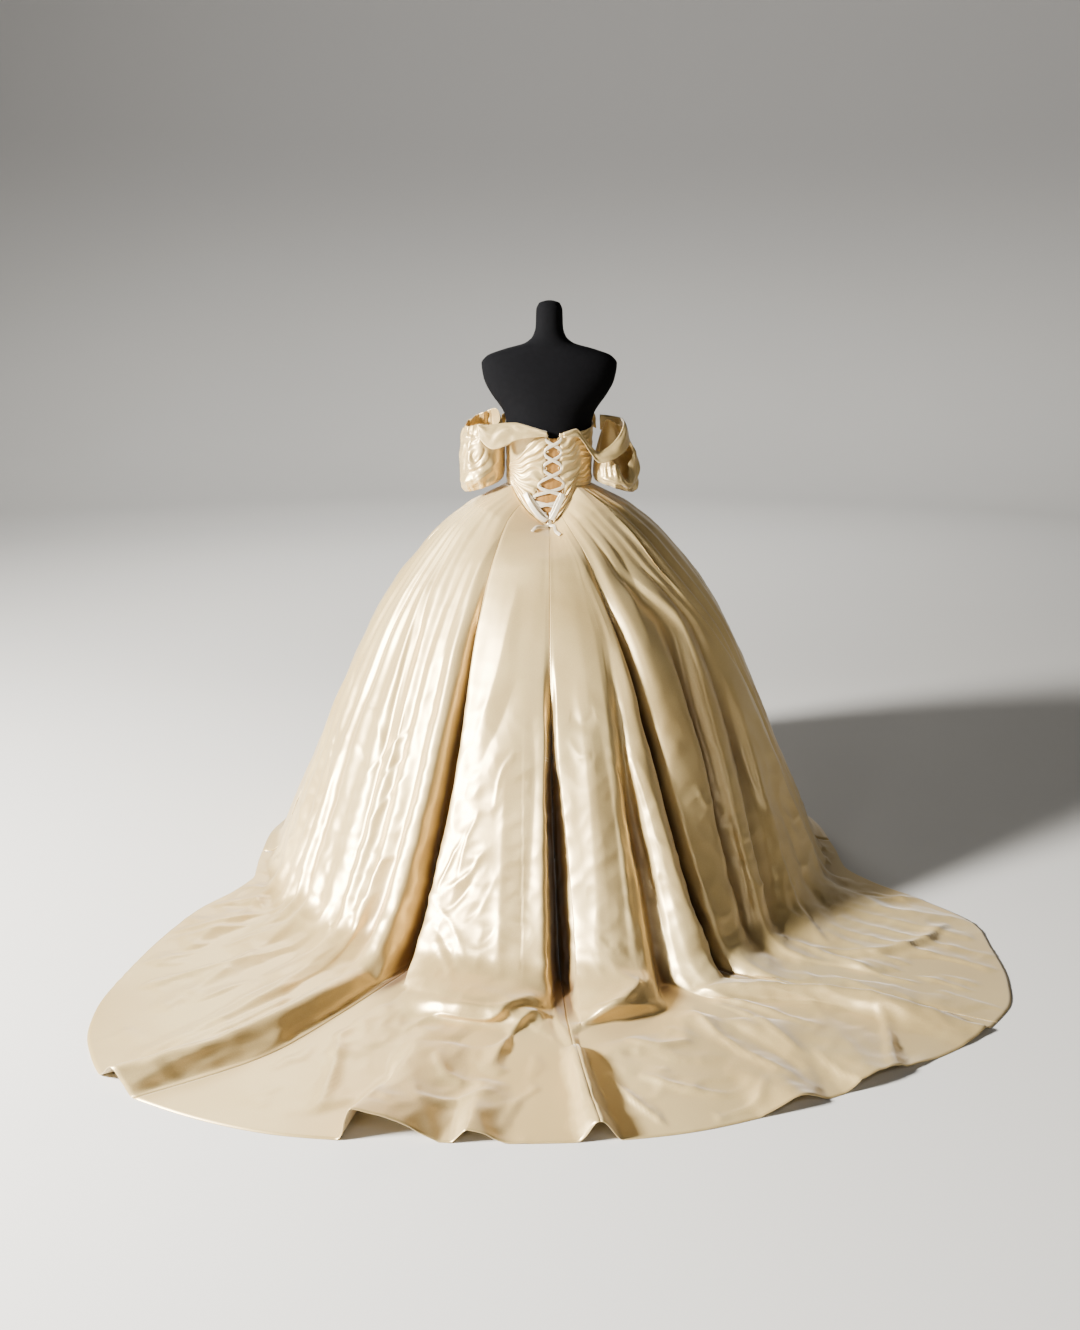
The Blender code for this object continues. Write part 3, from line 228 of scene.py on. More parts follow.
# Fold lines from the left side seam round the back to the right side seam.
# Name; azimuth at waist, hip, thigh, knee, shin, floor, train and hem;
# height in millimetres off the plain skirt at hip, thigh, knee, shin, floor, train and hem.
FOLDS = (
    ("left side seam", (-89, -89, -89, -88, -86, -84, -83, -83), (-2, -4, -6, -6, -4, 0, 0)),
    ("left ridge 8", (-85, -84.5, -84, -83, -80, -77, -75, -75), (5, 7, 8, 9, 10, 8, 6)),
    ("left valley 7", (-82, -80.5, -79.5, -79, -75, -72, -70, -70), (-4, -6, -6, -6, -4, 0, 0)),
    ("left ridge 7", (-78, -77, -76, -75.5, -71, -68, -66, -66), (5, 8, 9, 9, 9, 7, 5)),
    ("left crease 6", (-75, -73, -72.5, -72, -67, -64, -63, -63), (-6, -8, -8, -8, -6, 0, 0)),
    ("left ridge 6", (-72.5, -70, -69, -69, -64.5, -61, -60, -60.5), (5, 7, 8, 8, 8, 6, 4)),
    ("left valley 5", (-70, -67, -65.5, -65.5, -62, -58, -57.5, -58), (-4, -6, -6, -6, -4, 0, 0)),
    ("left ridge 5", (-67.5, -64, -62, -62, -59.5, -56, -55, -56), (6, 8, 9, 9, 8, 6, 4)),
    ("left crease 4", (-65, -61, -59, -59, -56.5, -54, -53, -54), (-6, -8, -9, -8, -6, 0, 0)),
    ("left ridge 4", (-63, -58, -56, -55.5, -53.5, -51.5, -51, -52.5), (5, 7, 8, 8, 7, 6, 4)),
    ("left valley 3", (-60.5, -55.5, -53, -51.5, -50, -49, -49, -51), (-4, -4, -6, -5, -4, 0, 0)),
    ("left ridge 3", (-58, -53, -49, -47.5, -46.5, -46.5, -47, -49.5), (6, 9, 9, 8, 8, 6, 3)),
    ("left long crease", (-55, -50, -45.5, -43.5, -43, -44, -44.5, -48),
        (-6, -10, -11, -8, -6, 0, 0)),
    ("left ridge 2", (-52, -45, -42, -40.5, -41, -42, -42.5, -46), (6, 8, 9, 8, 7, 7, 3)),
    ("left valley 1", (-49, -41, -38.5, -38, -39, -40, -40.5, -44), (-3, -6, -7, -6, -4, 0, 0)),
    ("left ridge 1", (-46, -37, -35.5, -35.5, -36.5, -38.5, -38, -41.5), (5, 7, 8, 6, 8, 8, 3)),
    ("left soft valley", (-43, -34, -32.5, -32, -33.5, -36.5, -35, -38),
        (0, 0, -4, -12, -14, 2, 2)),
    ("left roll", (-39, -29.5, -28.6, -28.4, -29.8, -32, -31.8, -35.4),
        (8, 14, 20, 26, 34, 34, 50)),
    ("left roll edge", (-36, -26.4, -25.8, -25.8, -27, -29.5, -30, -34.2),
        (0, -2, 2, 6, 14, 20, 26)),
    ("left recess", (-34, -25, -24.4, -23.8, -24.8, -27.8, -28.4, -33),
        (-6, -26, -70, -85, -70, 0, 0)),
    ("left panel edge", (-32, -23.6, -23, -22, -23, -25.5, -26.4, -30.5),
        (2, -2, -6, -4, 0, 4, 1)),
    ("left panel shoulder", (-28, -20.5, -19, -18.5, -19, -19.5, -18, -16.6),
        (4, 6, 8, 10, 10, 8, 2)),
    ("big hem arch", (-23, -16.5, -15.5, -15.5, -15.5, -15.5, -15, -15),
        (5, 8, 12, 13, 14, 24, 74)),
    ("arch slope", (-17, -13, -12.2, -12, -12, -12, -11.6, -11), (5, 8, 14, 15, 16, 14, 40)),
    ("arch foot", (-12, -9.5, -9, -9, -9, -9, -8.6, -8.2), (4, 7, 13, 15, 15, 4, 1)),
    ("small hem arch", (-7, -6.2, -6.2, -6.2, -6.2, -6.4, -6.4, -6.6), (3, 6, 12, 13, 14, 10, 40)),
    ("small arch foot", (-3.5, -3.8, -4, -4, -4, -4, -3.2, -2.6), (2, 4, 10, 11, 12, 4, 1)),
    ("centre fold edge", (-1.4, -1.6, -1.8, -1.6, -1, -0.6, 0.8, 1.6), (0, 2, 6, 9, 8, 8, 4)),
    ("centre seam", (0, 0, 0, 0.4, 1.2, 2.2, 2.8, 3.6), (0, -4, -35, -75, -80, 30, 45)),
    ("centre right edge", (1.2, 1.2, 1.4, 2, 3.4, 4.3, 4.8, 5.6), (0, 0, 0, 2, 4, 4, 2)),
    ("right panel crest 1", (3, 4, 5, 5.5, 6.4, 7.2, 7.8, 8.6), (3, 6, 8, 9, 10, 6, 2)),
    ("right panel crest 2", (5, 7.6, 9.6, 10.2, 10.6, 11, 11.4, 12.4), (4, 9, 13, 15, 15, 8, 2)),
    ("right panel crest 3", (6.5, 10.4, 13.2, 13.6, 14, 14.2, 15.2, 16.2),
        (3, 9, 13, 14, 14, 6, 3)),
    ("right train crease", (7.4, 11.4, 14.8, 15.2, 15.6, 16.2, 20.6, 20.4),
        (3, 8, 11, 8, 12, 0, 30)),
    ("right train crest", (8.2, 12.4, 16, 16.4, 17, 17.9, 25.4, 24), (2, 6, -2, -8, -4, 12, 2)),
    ("thumb fold", (9, 13.4, 17.2, 17.9, 18.8, 20.2, 31, 28), (2, 4, -16, -30, -28, 4, 30)),
    ("pointed fold", (9.6, 14.4, 18.6, 19.8, 21.2, 23.6, 36, 36.5), (1, 6, 4, 8, 8, 0, 4)),
    ("right narrow ridge", (10.2, 15.4, 20, 22.4, 24.4, 27, 38.6, 42), (0, 7, 11, 18, 26, 30, 14)),
    ("right recess edge", (10.8, 16.4, 21, 24.4, 26.4, 29.4, 39.8, 43.2),
        (0, 5, 6, 10, 14, 12, 2)),
    ("right recess", (11.6, 17.8, 22.6, 26.3, 28.2, 31.4, 40.8, 44.2),
        (-4, -22, -70, -85, -60, 0, 0)),
    ("right recess far edge", (12.6, 19.4, 24.4, 28.4, 30.2, 33.4, 42, 45.2),
        (0, -4, 0, 2, 4, 8, 6)),
    ("right second ridge", (14, 22, 28, 32.5, 34, 36, 43.6, 46.6), (8, 12, 10, 8, 8, 10, 5)),
    ("right second fall", (16, 25, 35, 37.4, 37.2, 38, 45, 48), (2, 4, 2, -2, -2, 2, 0)),
    ("right third valley", (18, 28, 42, 41.5, 40.2, 40, 46.4, 49.2),
        (-10, -18, -26, -26, -16, 0, 0)),
    ("right third ridge", (21, 33, 47, 46, 43, 42.2, 47.8, 50.6), (6, 10, 10, 10, 10, 8, 5)),
    ("right third fall", (24, 37, 50, 49.6, 45.4, 44, 49.4, 52), (2, 2, 0, -2, 0, 2, 1)),
    ("right fourth valley", (27, 40.5, 53, 53.5, 47.6, 45.8, 51, 53.5),
        (-6, -10, -16, -16, -12, 0, 0)),
    ("right fourth ridge", (31, 43, 55, 58, 53, 50, 53.2, 55.5), (8, 9, 11, 12, 12, 8, 6)),
    ("right broad panel", (36, 45.5, 56.8, 63, 60, 57, 57.4, 58.5), (10, 11, 15, 16, 16, 8, 5)),
    ("back panel edge", (42, 48, 58.8, 67.5, 67, 65, 62.6, 62.5), (13, 14, 17, 18, 18, 12, 8)),
    ("side pleat recess 1", (45, 51.5, 62.4, 70.6, 71.5, 71, 67, 66),
        (-20, -22, -15, -12, -6, 0, 0)),
    ("side pleat 1", (49, 56.5, 66.4, 73.4, 74.6, 74.4, 70.5, 69.5), (4, 4, 2, 4, 6, 6, 6)),
    ("side pleat recess 2", (54, 62, 70.4, 75.8, 77, 77, 73.4, 72), (-12, -14, -12, -8, -4, 0, 0)),
    ("side pleat 2", (60, 67, 74.4, 78.8, 80, 80, 76.6, 75), (6, 6, 6, 6, 8, 6, 6)),
    ("side pleat recess 3", (66, 72, 78, 81.6, 82.6, 82.4, 79.6, 78.4),
        (-8, -10, -8, -6, -4, 0, 0)),
    ("side pleat 3", (73, 78, 82, 85, 86, 85.8, 84, 83), (6, 8, 8, 8, 8, 6, 6)),
    ("right side seam", (81, 86, 88, 89, 89.6, 89, 88.4, 88), (-3, -4, -5, -5, -4, 0, 0)),
)
GORES = (
    ("skirt_side_left", "left side seam", "left recess"),
    ("skirt_back_left", "left recess", "centre seam"),
    ("skirt_back_right", "centre seam", "right recess"),
    ("skirt_side_right", "right recess", "right side seam"),
    ("skirt_front", "right side seam", "left side seam"),
)
FRONT_PLEATS = 23
FRONT_PLEAT_HEIGHT = 10.0
FRONT_PLEAT_DEPTH = -7.0
# Length of cloth lying on the floor from which the folds stand upright
LONG_TRAIN = 180 * MM

# How far the folds' direction has turned upright on the floor: row, share of the turn
TRAIN_LEAN = ((12.0, 0.0), (12.5, 0.7), (13.0, 1.0), (16.0, 1.0))

# Rolls where the cloth breaks on the floor: azimuth, half width in degrees, reach, height
FLOOR_ROLLS = (
    (-12.5, 12.0, 0.046, 0.034),
    (10.5, 8.5, 0.040, 0.032),
)
# Middle and half height, in rows, of a roll's swell and of the tuck under it
SWELL = (11.9, 1.6)
TUCK = (12.75, 0.7)

# Sleeves: middle of the arm, half sizes, and their share from the top rim to the foot
SLEEVE_X = 0.1822
SLEEVE_Y_LEFT = -0.004
SLEEVE_Y_RIGHT = -0.012
# Narrowing of the upper rim
SLEEVE_RIM_LEFT = 1.0
SLEEVE_RIM_RIGHT = 0.88
SLEEVE_HALF_WIDTH = 0.0615
SLEEVE_HALF_DEPTH = 0.074
SLEEVE_SHAPE = ((0.0, 0.79), (0.12, 0.93), (0.35, 1.0), (0.75, 1.0), (0.92, 0.93), (1.0, 0.74))
SLEEVE_GATHERS = 9
SLEEVE_FINE_GATHERS = (13, 17, 22, 29)
SLEEVE_GATHER_DEPTH = 3.0 * MM
SLEEVE_FOOT = 1.051
SLEEVE_FOOT_TILT = 0.014
# Height of a sleeve's top rim round the arm: 0 behind it, 90 on its outer side, 180 before it
SLEEVE_TOP_LEFT = ((-90.0, 1.234), (-45.0, 1.218), (0.0, 1.224), (45.0, 1.216), (90.0, 1.210),
                   (135.0, 1.232), (180.0, 1.248), (225.0, 1.260), (270.0, 1.232))
SLEEVE_TOP_RIGHT = ((-90.0, 1.150), (-60.0, 1.128), (-30.0, 1.128), (5.0, 1.112), (35.0, 1.076),
                    (62.0, 1.110), (90.0, 1.1727), (130.0, 1.1733), (152.0, 1.175), (182.0, 1.222),
                    (215.0, 1.230), (240.0, 1.200), (270.0, 1.150))

# Folded band round the shoulders: azimuth, stand off the form, top, drop, flare of its lower edge
BAND_LEFT = (
    (-2.0, 0.0101, 1.206, 0.012, 0.004),
    (-14.0, 0.0101, 1.214, 0.022, 0.008),
    (-28.0, 0.0112, 1.222, 0.034, 0.013),
    (-42.0, 0.0190, 1.228, 0.048, 0.019),
    (-52.0, 0.0350, 1.227, 0.060, 0.022),
    (-58.5, 0.0544, 1.224, 0.064, 0.018),
    (-63.0, 0.0724, 1.222, 0.054, 0.012),
    (-66.2, 0.0892, 1.222, 0.032, 0.005),
)
BAND_RIGHT = (
    (15.0, 0.0105, 1.203, 0.012, 0.004),
    (32.0, 0.0105, 1.212, 0.020, 0.006),
    (42.0, 0.0130, 1.196, 0.022, 0.008),
    (52.0, 0.0220, 1.168, 0.024, 0.010),
    (60.0, 0.0360, 1.150, 0.028, 0.012),
    (70.0, 0.0580, 1.165, 0.036, 0.014),
    (80.0, 0.0800, 1.195, 0.044, 0.014),
    (90.0, 0.0900, 1.222, 0.047, 0.013),
    (100.0, 0.0880, 1.232, 0.050, 0.012),
    (110.0, 0.0600, 1.238, 0.045, 0.010),
    (115.0, 0.0400, 1.240, 0.042, 0.009),
)
BAND_FRONT = (
    (119.5, 0.0290, 1.242, 0.040, 0.008),
    (130.0, 0.0150, 1.247, 0.036, 0.008),
    (145.0, 0.0092, 1.254, 0.034, 0.008),
    (168.0, 0.0090, 1.250, 0.032, 0.007),
    (180.0, 0.0090, 1.238, 0.028, 0.006),
    (192.0, 0.0090, 1.250, 0.032, 0.007),
    (215.0, 0.0092, 1.254, 0.034, 0.008),
    (230.0, 0.0150, 1.247, 0.036, 0.008),
    (242.0, 0.0300, 1.242, 0.040, 0.008),
)
# Section of the folded band: distance outward, share of the flare, share of the drop
BAND_SECTION = ((-0.0035, 0.0, 0.42), (-0.0030, 0.0, 0.10), (0.0, 0.0, 0.0), (0.0035, 0.1, 0.12),
                (0.0045, 0.55, 0.55), (0.0040, 1.0, 1.0))
BAND_LEVEL = 1.216

# Free ends of the ribbon below the knot: name, then their places (azimuth, row) on the skirt
TAILS = (
    ("ribbon_tail_left", ((-1.0, 0.0), (-5.0, 0.35), (-10.0, 0.62), (-12.0, 0.95))),
    ("ribbon_tail_right", ((1.0, 0.0), (4.0, 0.40), (4.5, 0.80), (7.0, 1.15))),
)

# Creases of the back of the skirt: name, width and depth in mm (below 0 a trough),
# steepness of the right side, then the places along it (azimuth, row)
CREASES = (
    # Left panel
    ("long fold", 21, 7.5, 0.55, ((-49, 3.6), (-45, 5.6), (-43, 7.0), (-42, 8.5), (-41.5, 10.9))),
    ("long hollow", 24, -5.5, 1.0, ((-44, 4.6), (-40, 6.6), (-38, 8.4), (-37, 10.4))),
    ("second fold", 24, 7.5, 0.55, ((-76, 4.8), (-67, 7.2), (-61, 8.4), (-60, 10.0), (-58, 12.0),
        (-51, 13.4))),
    ("second hollow", 26, -6.0, 1.0, ((-67, 6.2), (-60, 8.0), (-56, 9.6), (-54, 11.6))),
    ("third fold", 18, 5.0, 0.6, ((-62, 7.2), (-58, 9.2), (-57, 10.9), (-54.5, 12.8))),
    ("far fold", 26, 8.0, 0.7, ((-84, 6.0), (-79, 8.2), (-72, 9.6), (-70, 11.0))),
    ("far hollow", 26, -8.0, 1.0, ((-90, 6.8), (-85, 8.6), (-78, 10.2), (-76, 11.4))),
    ("low hollow", 30, -11.0, 1.0, ((-31, 8.4), (-34, 9.8), (-38, 11.1), (-38, 12.5),
        (-32, 13.6))),
    ("roll", 18, 12.0, 0.6, ((-26.8, 5.6), (-27.2, 7.2), (-27.8, 8.7), (-28.9, 9.9), (-30.3, 11.1),
        (-30.8, 12.8), (-31.2, 14.5))),
    ("recess", 20, -14.0, 1.0, ((-24.6, 6.4), (-24.9, 8.4), (-25.6, 9.8), (-26.8, 11.2),
        (-26.8, 12.6), (-27.2, 13.8))),
    ("roll lip low", 16, 12.0, 0.5, ((-30.9, 12.8), (-31.6, 14.0), (-32.6, 15.0), (-33.8, 16.0))),
    ("sweep a", 24, 9.0, 0.6, ((-49, 8.8), (-52.5, 10.8), (-50, 12.8), (-46, 13.9), (-43, 15.0))),
    ("sweep b", 22, 9.0, 0.6, ((-36.5, 9.2), (-38.5, 10.6), (-40.5, 12.3), (-38, 13.4),
        (-37.5, 14.6))),
    ("sweep c", 26, 9.0, 0.6, ((-66, 9.4), (-67.5, 11.8), (-60, 13.7), (-54, 14.8),
        (-50.5, 15.6))),
    ("sweep hollow a", 26, -8.0, 1.0, ((-44, 9.8), (-46, 11.6), (-44.5, 12.9), (-41, 14.0),
        (-39.5, 15.0))),
    ("sweep hollow c", 26, -8.0, 1.0, ((-58, 10.0), (-60, 12.0), (-55, 13.6), (-49.5, 14.6))),
    ("upper fold", 15, 4.5, 0.6, ((-52, 1.4), (-46, 3.1), (-46, 4.1), (-41, 5.4))),
    ("upper hollow", 16, -4.5, 1.0, ((-42, 1.2), (-38, 2.6), (-37, 4.2))),
    ("shoulder fold", 17, 5.0, 0.6, ((-64, 1.6), (-62, 3.2), (-64, 5.2))),
    ("inner fold", 14, 4.0, 0.6, ((-30, 1.0), (-29, 2.4), (-31, 4.2), (-33, 6.0))),
    ("wrinkle a", 9, 3.2, 1.6, ((-60, 6.6), (-53, 6.5), (-48, 6.8), (-45, 7.1))),
    ("wrinkle b", 8, 3.2, 1.6, ((-36, 6.6), (-40, 6.9), (-44, 7.3), (-48, 7.8))),
    ("wrinkle c", 8, -3.0, 1.0, ((-35, 7.0), (-39, 7.3), (-43, 7.7))),
    ("wrinkle d", 9, 3.0, 1.4, ((-34, 7.4), (-38, 7.8), (-42, 8.5))),
    ("wrinkle e", 9, -2.6, 1.0, ((-56, 7.2), (-50, 7.4), (-46, 7.8))),
    ("wrinkle f", 8, 2.6, 1.4, ((-33, 8.8), (-36, 9.0), (-37, 9.8))),
    ("wrinkle g", 8, 2.6, 1.4, ((-72, 7.4), (-66, 7.6), (-63, 8.1))),
    ("long line", 9, -4.5, 1.0, ((-50.5, 3.9), (-46.5, 5.6), (-44.5, 7.0), (-43.5, 8.5),
        (-43, 10.9))),
    ("second line", 9, -4.5, 1.0, ((-75.5, 5.9), (-69, 7.2), (-62.5, 8.4), (-61.5, 10.0),
        (-60, 12.0))),
    ("third line", 9, -4.0, 1.0, ((-62.5, 7.7), (-59.5, 9.2), (-58.5, 10.9), (-55.5, 12.8))),
    # Where the two centre panels meet
    ("centre recess edge", 14, 10.0, 0.5, ((-1.7, 6.2), (-1.8, 8.0), (-1.6, 9.6), (-1.5, 11.2))),
    ("centre recess", 26, -16.0, 1.0, ((1.0, 7.0), (2.5, 8.2), (3.3, 9.6), (3.5, 10.8),
        (2.6, 11.9))),
    # Centre left panel
    ("hollow a", 24, -5.5, 1.0, ((-9, 5.6), (-13, 6.5), (-17, 7.2))),
    ("fold a", 26, 4.5, 1.2, ((-12, 3.4), (-14, 5.2), (-19, 7.0))),
    ("hollow b", 17, -4.5, 1.0, ((-4.6, 6.2), (-3.4, 7.2), (-3.8, 8.4), (-4.4, 9.6))),
    ("upright fold", 20, 4.5, 1.3, ((-10, 7.0), (-9.5, 8.4), (-9, 10.0), (-8, 11.2))),
    ("wrinkle a", 8, 3.6, 1.5, ((-17.5, 8.2), (-20, 8.7), (-22, 9.2))),
    ("wrinkle b", 8, 3.6, 1.5, ((-13, 8.4), (-16, 8.9), (-21, 9.2))),
    ("wrinkle c", 8, -3.6, 1.0, ((-14, 8.8), (-17, 9.3), (-20, 9.6))),
    ("wrinkle d", 8, 3.4, 1.5, ((-23, 9.4), (-18, 9.8), (-14.5, 10.5))),
    ("wrinkle e", 8, -3.2, 1.0, ((-22, 9.8), (-18, 10.3), (-16, 10.8))),
    ("wrinkle f", 8, 3.0, 1.5, ((-21, 10.2), (-17, 10.9), (-15, 11.4))),
    ("wrinkle g", 8, 3.0, 1.5, ((-15, 7.8), (-17, 8.3), (-18, 9.0))),
    ("wrinkle h", 8, 2.6, 1.5, ((-10, 8.8), (-13, 9.5), (-16, 9.8))),
    ("wrinkle i", 8, -2.6, 1.0, ((-9, 9.6), (-12, 10.1), (-15, 10.2))),
    ("wrinkle j", 8, 2.4, 1.5, ((-8, 6.8), (-11, 7.2), (-12, 7.8))),
    # Where the panels meet the floor
    ("left roll lip", 18, 15.0, 2.2, ((-19, 13.2), (-15.5, 12.6), (-9, 12.6), (-6, 12.0),
        (-3.5, 11.7), (-0.8, 11.9))),
    ("under the left roll", 24, -14.0, 1.0, ((-16, 13.5), (-10.4, 13.25), (-6.5, 13.1),
        (-3.0, 12.6))),
    ("left curl", 16, 15.0, 2.2, ((-6.6, 14.0), (-5.2, 12.9), (-2.9, 12.3), (-1.0, 12.4))),
    ("left curl hollow", 20, -14.0, 1.0, ((-4.8, 14.0), (-3.0, 13.2), (-0.9, 12.9))),
    ("right roll lip", 19, 20.0, 2.0, ((2.2, 12.9), (6.5, 12.4), (10.5, 12.0), (14, 11.3))),
    ("under the right roll", 26, -20.0, 1.0, ((5.0, 13.0), (9.0, 12.9), (15, 12.6), (21, 12.3))),
    ("seam tube", 22, 13.0, 1.3, ((0.4, 11.9), (1.3, 12.7), (2.8, 13.4), (2.7, 14.8),
        (2.6, 16.0))),
    ("left of the seam tube", 22, -6.0, 1.0, ((-0.6, 12.8), (0.4, 13.8), (0.4, 15.6))),
    ("right of the seam tube", 20, -6.0, 1.0, ((3.4, 12.9), (5.0, 14.0), (6.4, 15.4))),
    # Centre right panel
    ("thumb hollow", 16, -8.0, 1.0, ((14.6, 6.9), (17.4, 7.4), (19.3, 8.5), (20.4, 9.6),
        (21, 10.9), (22, 12.4))),
    ("thumb fold", 22, 8.0, 1.6, ((15.6, 6.4), (19.6, 7.1), (21.8, 8.4), (23, 9.6), (24, 10.9),
        (26, 12.0))),
    ("recess edge", 15, 10.0, 0.55, ((20, 6.9), (23, 7.7), (24, 8.6), (25, 9.5), (28, 10.7),
        (31.5, 12.3), (33, 13.2), (37, 14.0), (40, 14.9), (44.5, 15.9))),
    ("fold", 24, 5.0, 1.3, ((7, 5.6), (8.5, 7.4), (8.5, 9.4), (8, 11.0))),
    ("hollow", 22, -5.0, 1.0, ((12, 6.4), (13.5, 8.0), (13.5, 9.8), (13, 11.2))),
    ("dent a", 16, -4.0, 1.0, ((5.0, 6.2), (8.0, 6.4), (11, 6.2))),
    ("dent b", 14, 3.4, 1.4, ((4.4, 6.6), (7.0, 6.9), (9.5, 6.9))),
    ("wrinkle", 9, 3.0, 1.5, ((8, 9.9), (10, 10.2), (12.5, 10.1))),
    ("knee", 26, 7.0, 1.6, ((10, 10.6), (13.0, 11.2), (17, 11.4))),
    # Right panel
    ("fold", 18, 6.0, 1.5, ((24, 6.8), (27.5, 8.2), (30, 9.6), (33, 11.4), (36, 13.0))),
    ("shade", 22, -9.0, 1.0, ((38, 4.6), (41.5, 5.9), (43, 7.2), (42, 8.6), (41, 10.4),
        (40, 12.2))),
    ("second fold", 20, 8.0, 0.6, ((35, 4.4), (37, 6.0), (38, 7.4), (36.5, 9.2), (36, 11.0))),
    ("third fold", 20, 7.5, 0.6, ((48, 5.0), (49, 6.4), (47, 8.0), (45.5, 9.6), (44.5, 11.2))),
    ("dark hollow", 20, -9.5, 1.0, ((57, 5.4), (55.5, 6.9), (52.5, 8.4), (49.5, 9.8), (47, 11.3))),
    ("edge fold", 18, 8.0, 1.7, ((59, 6.0), (57, 7.4), (54, 8.8), (53, 10.2), (52, 11.6),
        (48, 12.9))),
    ("outer fold", 24, 8.0, 0.7, ((63, 4.8), (65, 6.9), (66, 8.5), (68, 10.3), (68.5, 12.2),
        (62, 14.0))),
    ("outer hollow", 26, -7.0, 1.0, ((60, 8.0), (60, 9.6), (60, 11.2), (57, 12.6))),
    ("wrinkle a", 8, 3.4, 1.5, ((41, 8.4), (44, 8.8), (47, 8.7))),
    ("wrinkle b", 8, -3.4, 1.0, ((40, 8.9), (43, 9.2), (46, 9.2))),
    ("wrinkle c", 8, 3.4, 1.5, ((42, 9.4), (44.5, 9.8), (47, 9.6))),
    ("wrinkle d", 8, 3.0, 1.5, ((34, 7.6), (36, 8.0), (39, 7.9))),
    ("wrinkle e", 8, 3.0, 1.5, ((30, 9.8), (33, 10.1), (36, 10.0))),
    ("wrinkle f", 8, -3.0, 1.0, ((30.5, 10.3), (33.5, 10.6), (37, 10.4))),
    ("wrinkle g", 8, 3.0, 1.5, ((48, 10.5), (50, 11.0), (51, 11.8))),
    ("wrinkle h", 9, 2.6, 1.5, ((61, 8.8), (64, 9.1), (67, 9.0))),
    ("wrinkle i", 9, 2.6, 1.5, ((58, 9.8), (61, 10.1), (65, 10.2))),
    ("flap", 18, 13.0, 2.0, ((46, 12.5), (51, 13.6), (57, 14.6), (62, 15.2))),
    ("under the right flap", 24, -9.0, 1.0, ((43, 13.2), (48, 14.2), (54, 15.2))),
    ("sweep a", 24, 9.0, 1.6, ((34, 11.0), (35, 12.6), (37.5, 14.0), (41.5, 15.2))),
    ("sweep b", 22, 8.0, 1.6, ((43, 11.2), (46, 12.7), (46, 13.9), (48, 14.9))),
    ("edge line", 9, -4.5, 1.0, ((57.5, 6.9), (54, 8.3), (54, 9.3), (53.5, 11.5), (49, 12.8))),
    ("shade line", 9, -4.5, 1.0, ((38, 5.2), (40, 5.9), (41.5, 7.0), (41, 7.8), (39, 8.9),
        (39.5, 10.1), (37.5, 12.0))),
    # Upper right
    ("fold a", 16, 5.5, 0.6, ((10, 1.0), (14, 2.8), (20, 4.3), (21, 5.6), (26.5, 6.6))),
    ("hollow a", 17, -6.0, 1.0, ((16, 2.2), (19, 3.9), (22, 5.2), (25.5, 6.0))),
    ("fold b", 15, 5.5, 0.7, ((20, 0.8), (27, 2.4), (30, 3.6), (31, 5.2))),
    ("hollow b", 15, -5.0, 1.0, ((25, 0.8), (33, 2.8), (36, 4.2))),
    ("fold c", 16, 5.5, 0.7, ((33, 1.2), (42, 3.4), (46, 4.7), (47, 6.2))),
    ("hollow c", 16, -5.5, 1.0, ((40, 1.4), (49, 3.3), (53, 4.6))),
    ("fold d", 16, 5.0, 0.8, ((50, 1.6), (57, 3.4), (61, 5.2))),
    # Train
    ("left a", 16, 9.0, 1.5, ((-26, 13.4), (-22, 14.3), (-19, 15.6))),
    ("left b", 22, -9.0, 1.0, ((-20, 13.6), (-16.5, 14.4), (-14, 15.6))),
    ("left c", 15, 7.5, 1.5, ((-13, 13.8), (-10, 14.4), (-6.5, 14.5))),
    ("left d", 15, 8.2, 1.5, ((-12, 15.2), (-8.5, 15.0), (-5.0, 14.7))),
    ("left e", 17, -7.5, 1.0, ((-8.5, 14.0), (-5.5, 14.3), (-2.5, 14.0))),
    ("left f", 13, 6.8, 1.5, ((-4.2, 15.8), (-3.2, 15.0), (-0.8, 14.4))),
    ("diagonal a", 14, 9.8, 1.6, ((5.2, 14.1), (7, 14.9), (9.4, 15.9))),
    ("diagonal b", 13, 7.5, 1.5, ((8.8, 14.3), (12.5, 14.9), (16.7, 15.4))),
    ("diagonal c", 14, -6.8, 1.0, ((8.5, 13.6), (13, 14.2), (18, 14.6))),
    ("diagonal d", 11, 6.0, 1.5, ((9, 13.2), (13, 13.6), (17, 13.6))),
    ("diagonal e", 12, 6.8, 1.5, ((13, 15.8), (17, 15.7), (20, 15.1))),
    ("ridge a", 16, 11.2, 1.6, ((24, 11.9), (26.4, 12.6), (29, 13.4), (31, 14.4))),
    ("ridge b", 15, 8.2, 1.5, ((20.6, 12.3), (20.3, 13.6), (21.6, 14.9), (23, 15.8))),
    ("ridge c", 14, 7.5, 1.5, ((24.2, 12.6), (26.4, 13.4), (25.4, 14.8))),
    ("hollow c", 18, -7.5, 1.0, ((22.6, 13.0), (23.4, 14.2), (24, 15.2))),
    ("pointed fold", 15, 9.0, 2.0, ((39, 14.4), (35.5, 15.0), (31, 15.8), (29, 16.2))),
    ("pointed fold hollow", 18, -6.0, 1.0, ((37, 15.2), (33.5, 15.7), (31, 16.2))),
    ("right hem fold", 13, 6.0, 1.6, ((27, 14.8), (26.3, 15.6), (26.9, 16.2))),
)

# Long shallow pleats of the train, from the bell's foot to the hem:
# first and last azimuth, how many, width, depth, first and last row
TRAIN_LINES = (
    (-67, -33, 14, 13, 6.0, 11.8, 15.9),
    (40, 68, 11, 16, 6.0, 12.6, 16.0),
)
LINE_STEEP = 1.3

# Crease: points along it, reach of its section in widths, exponents of section and fade
CREASE_POINTS = 26
CREASE_REACH = 3.2
CREASE_SECTION = 1.45
CREASE_FADE = 0.6

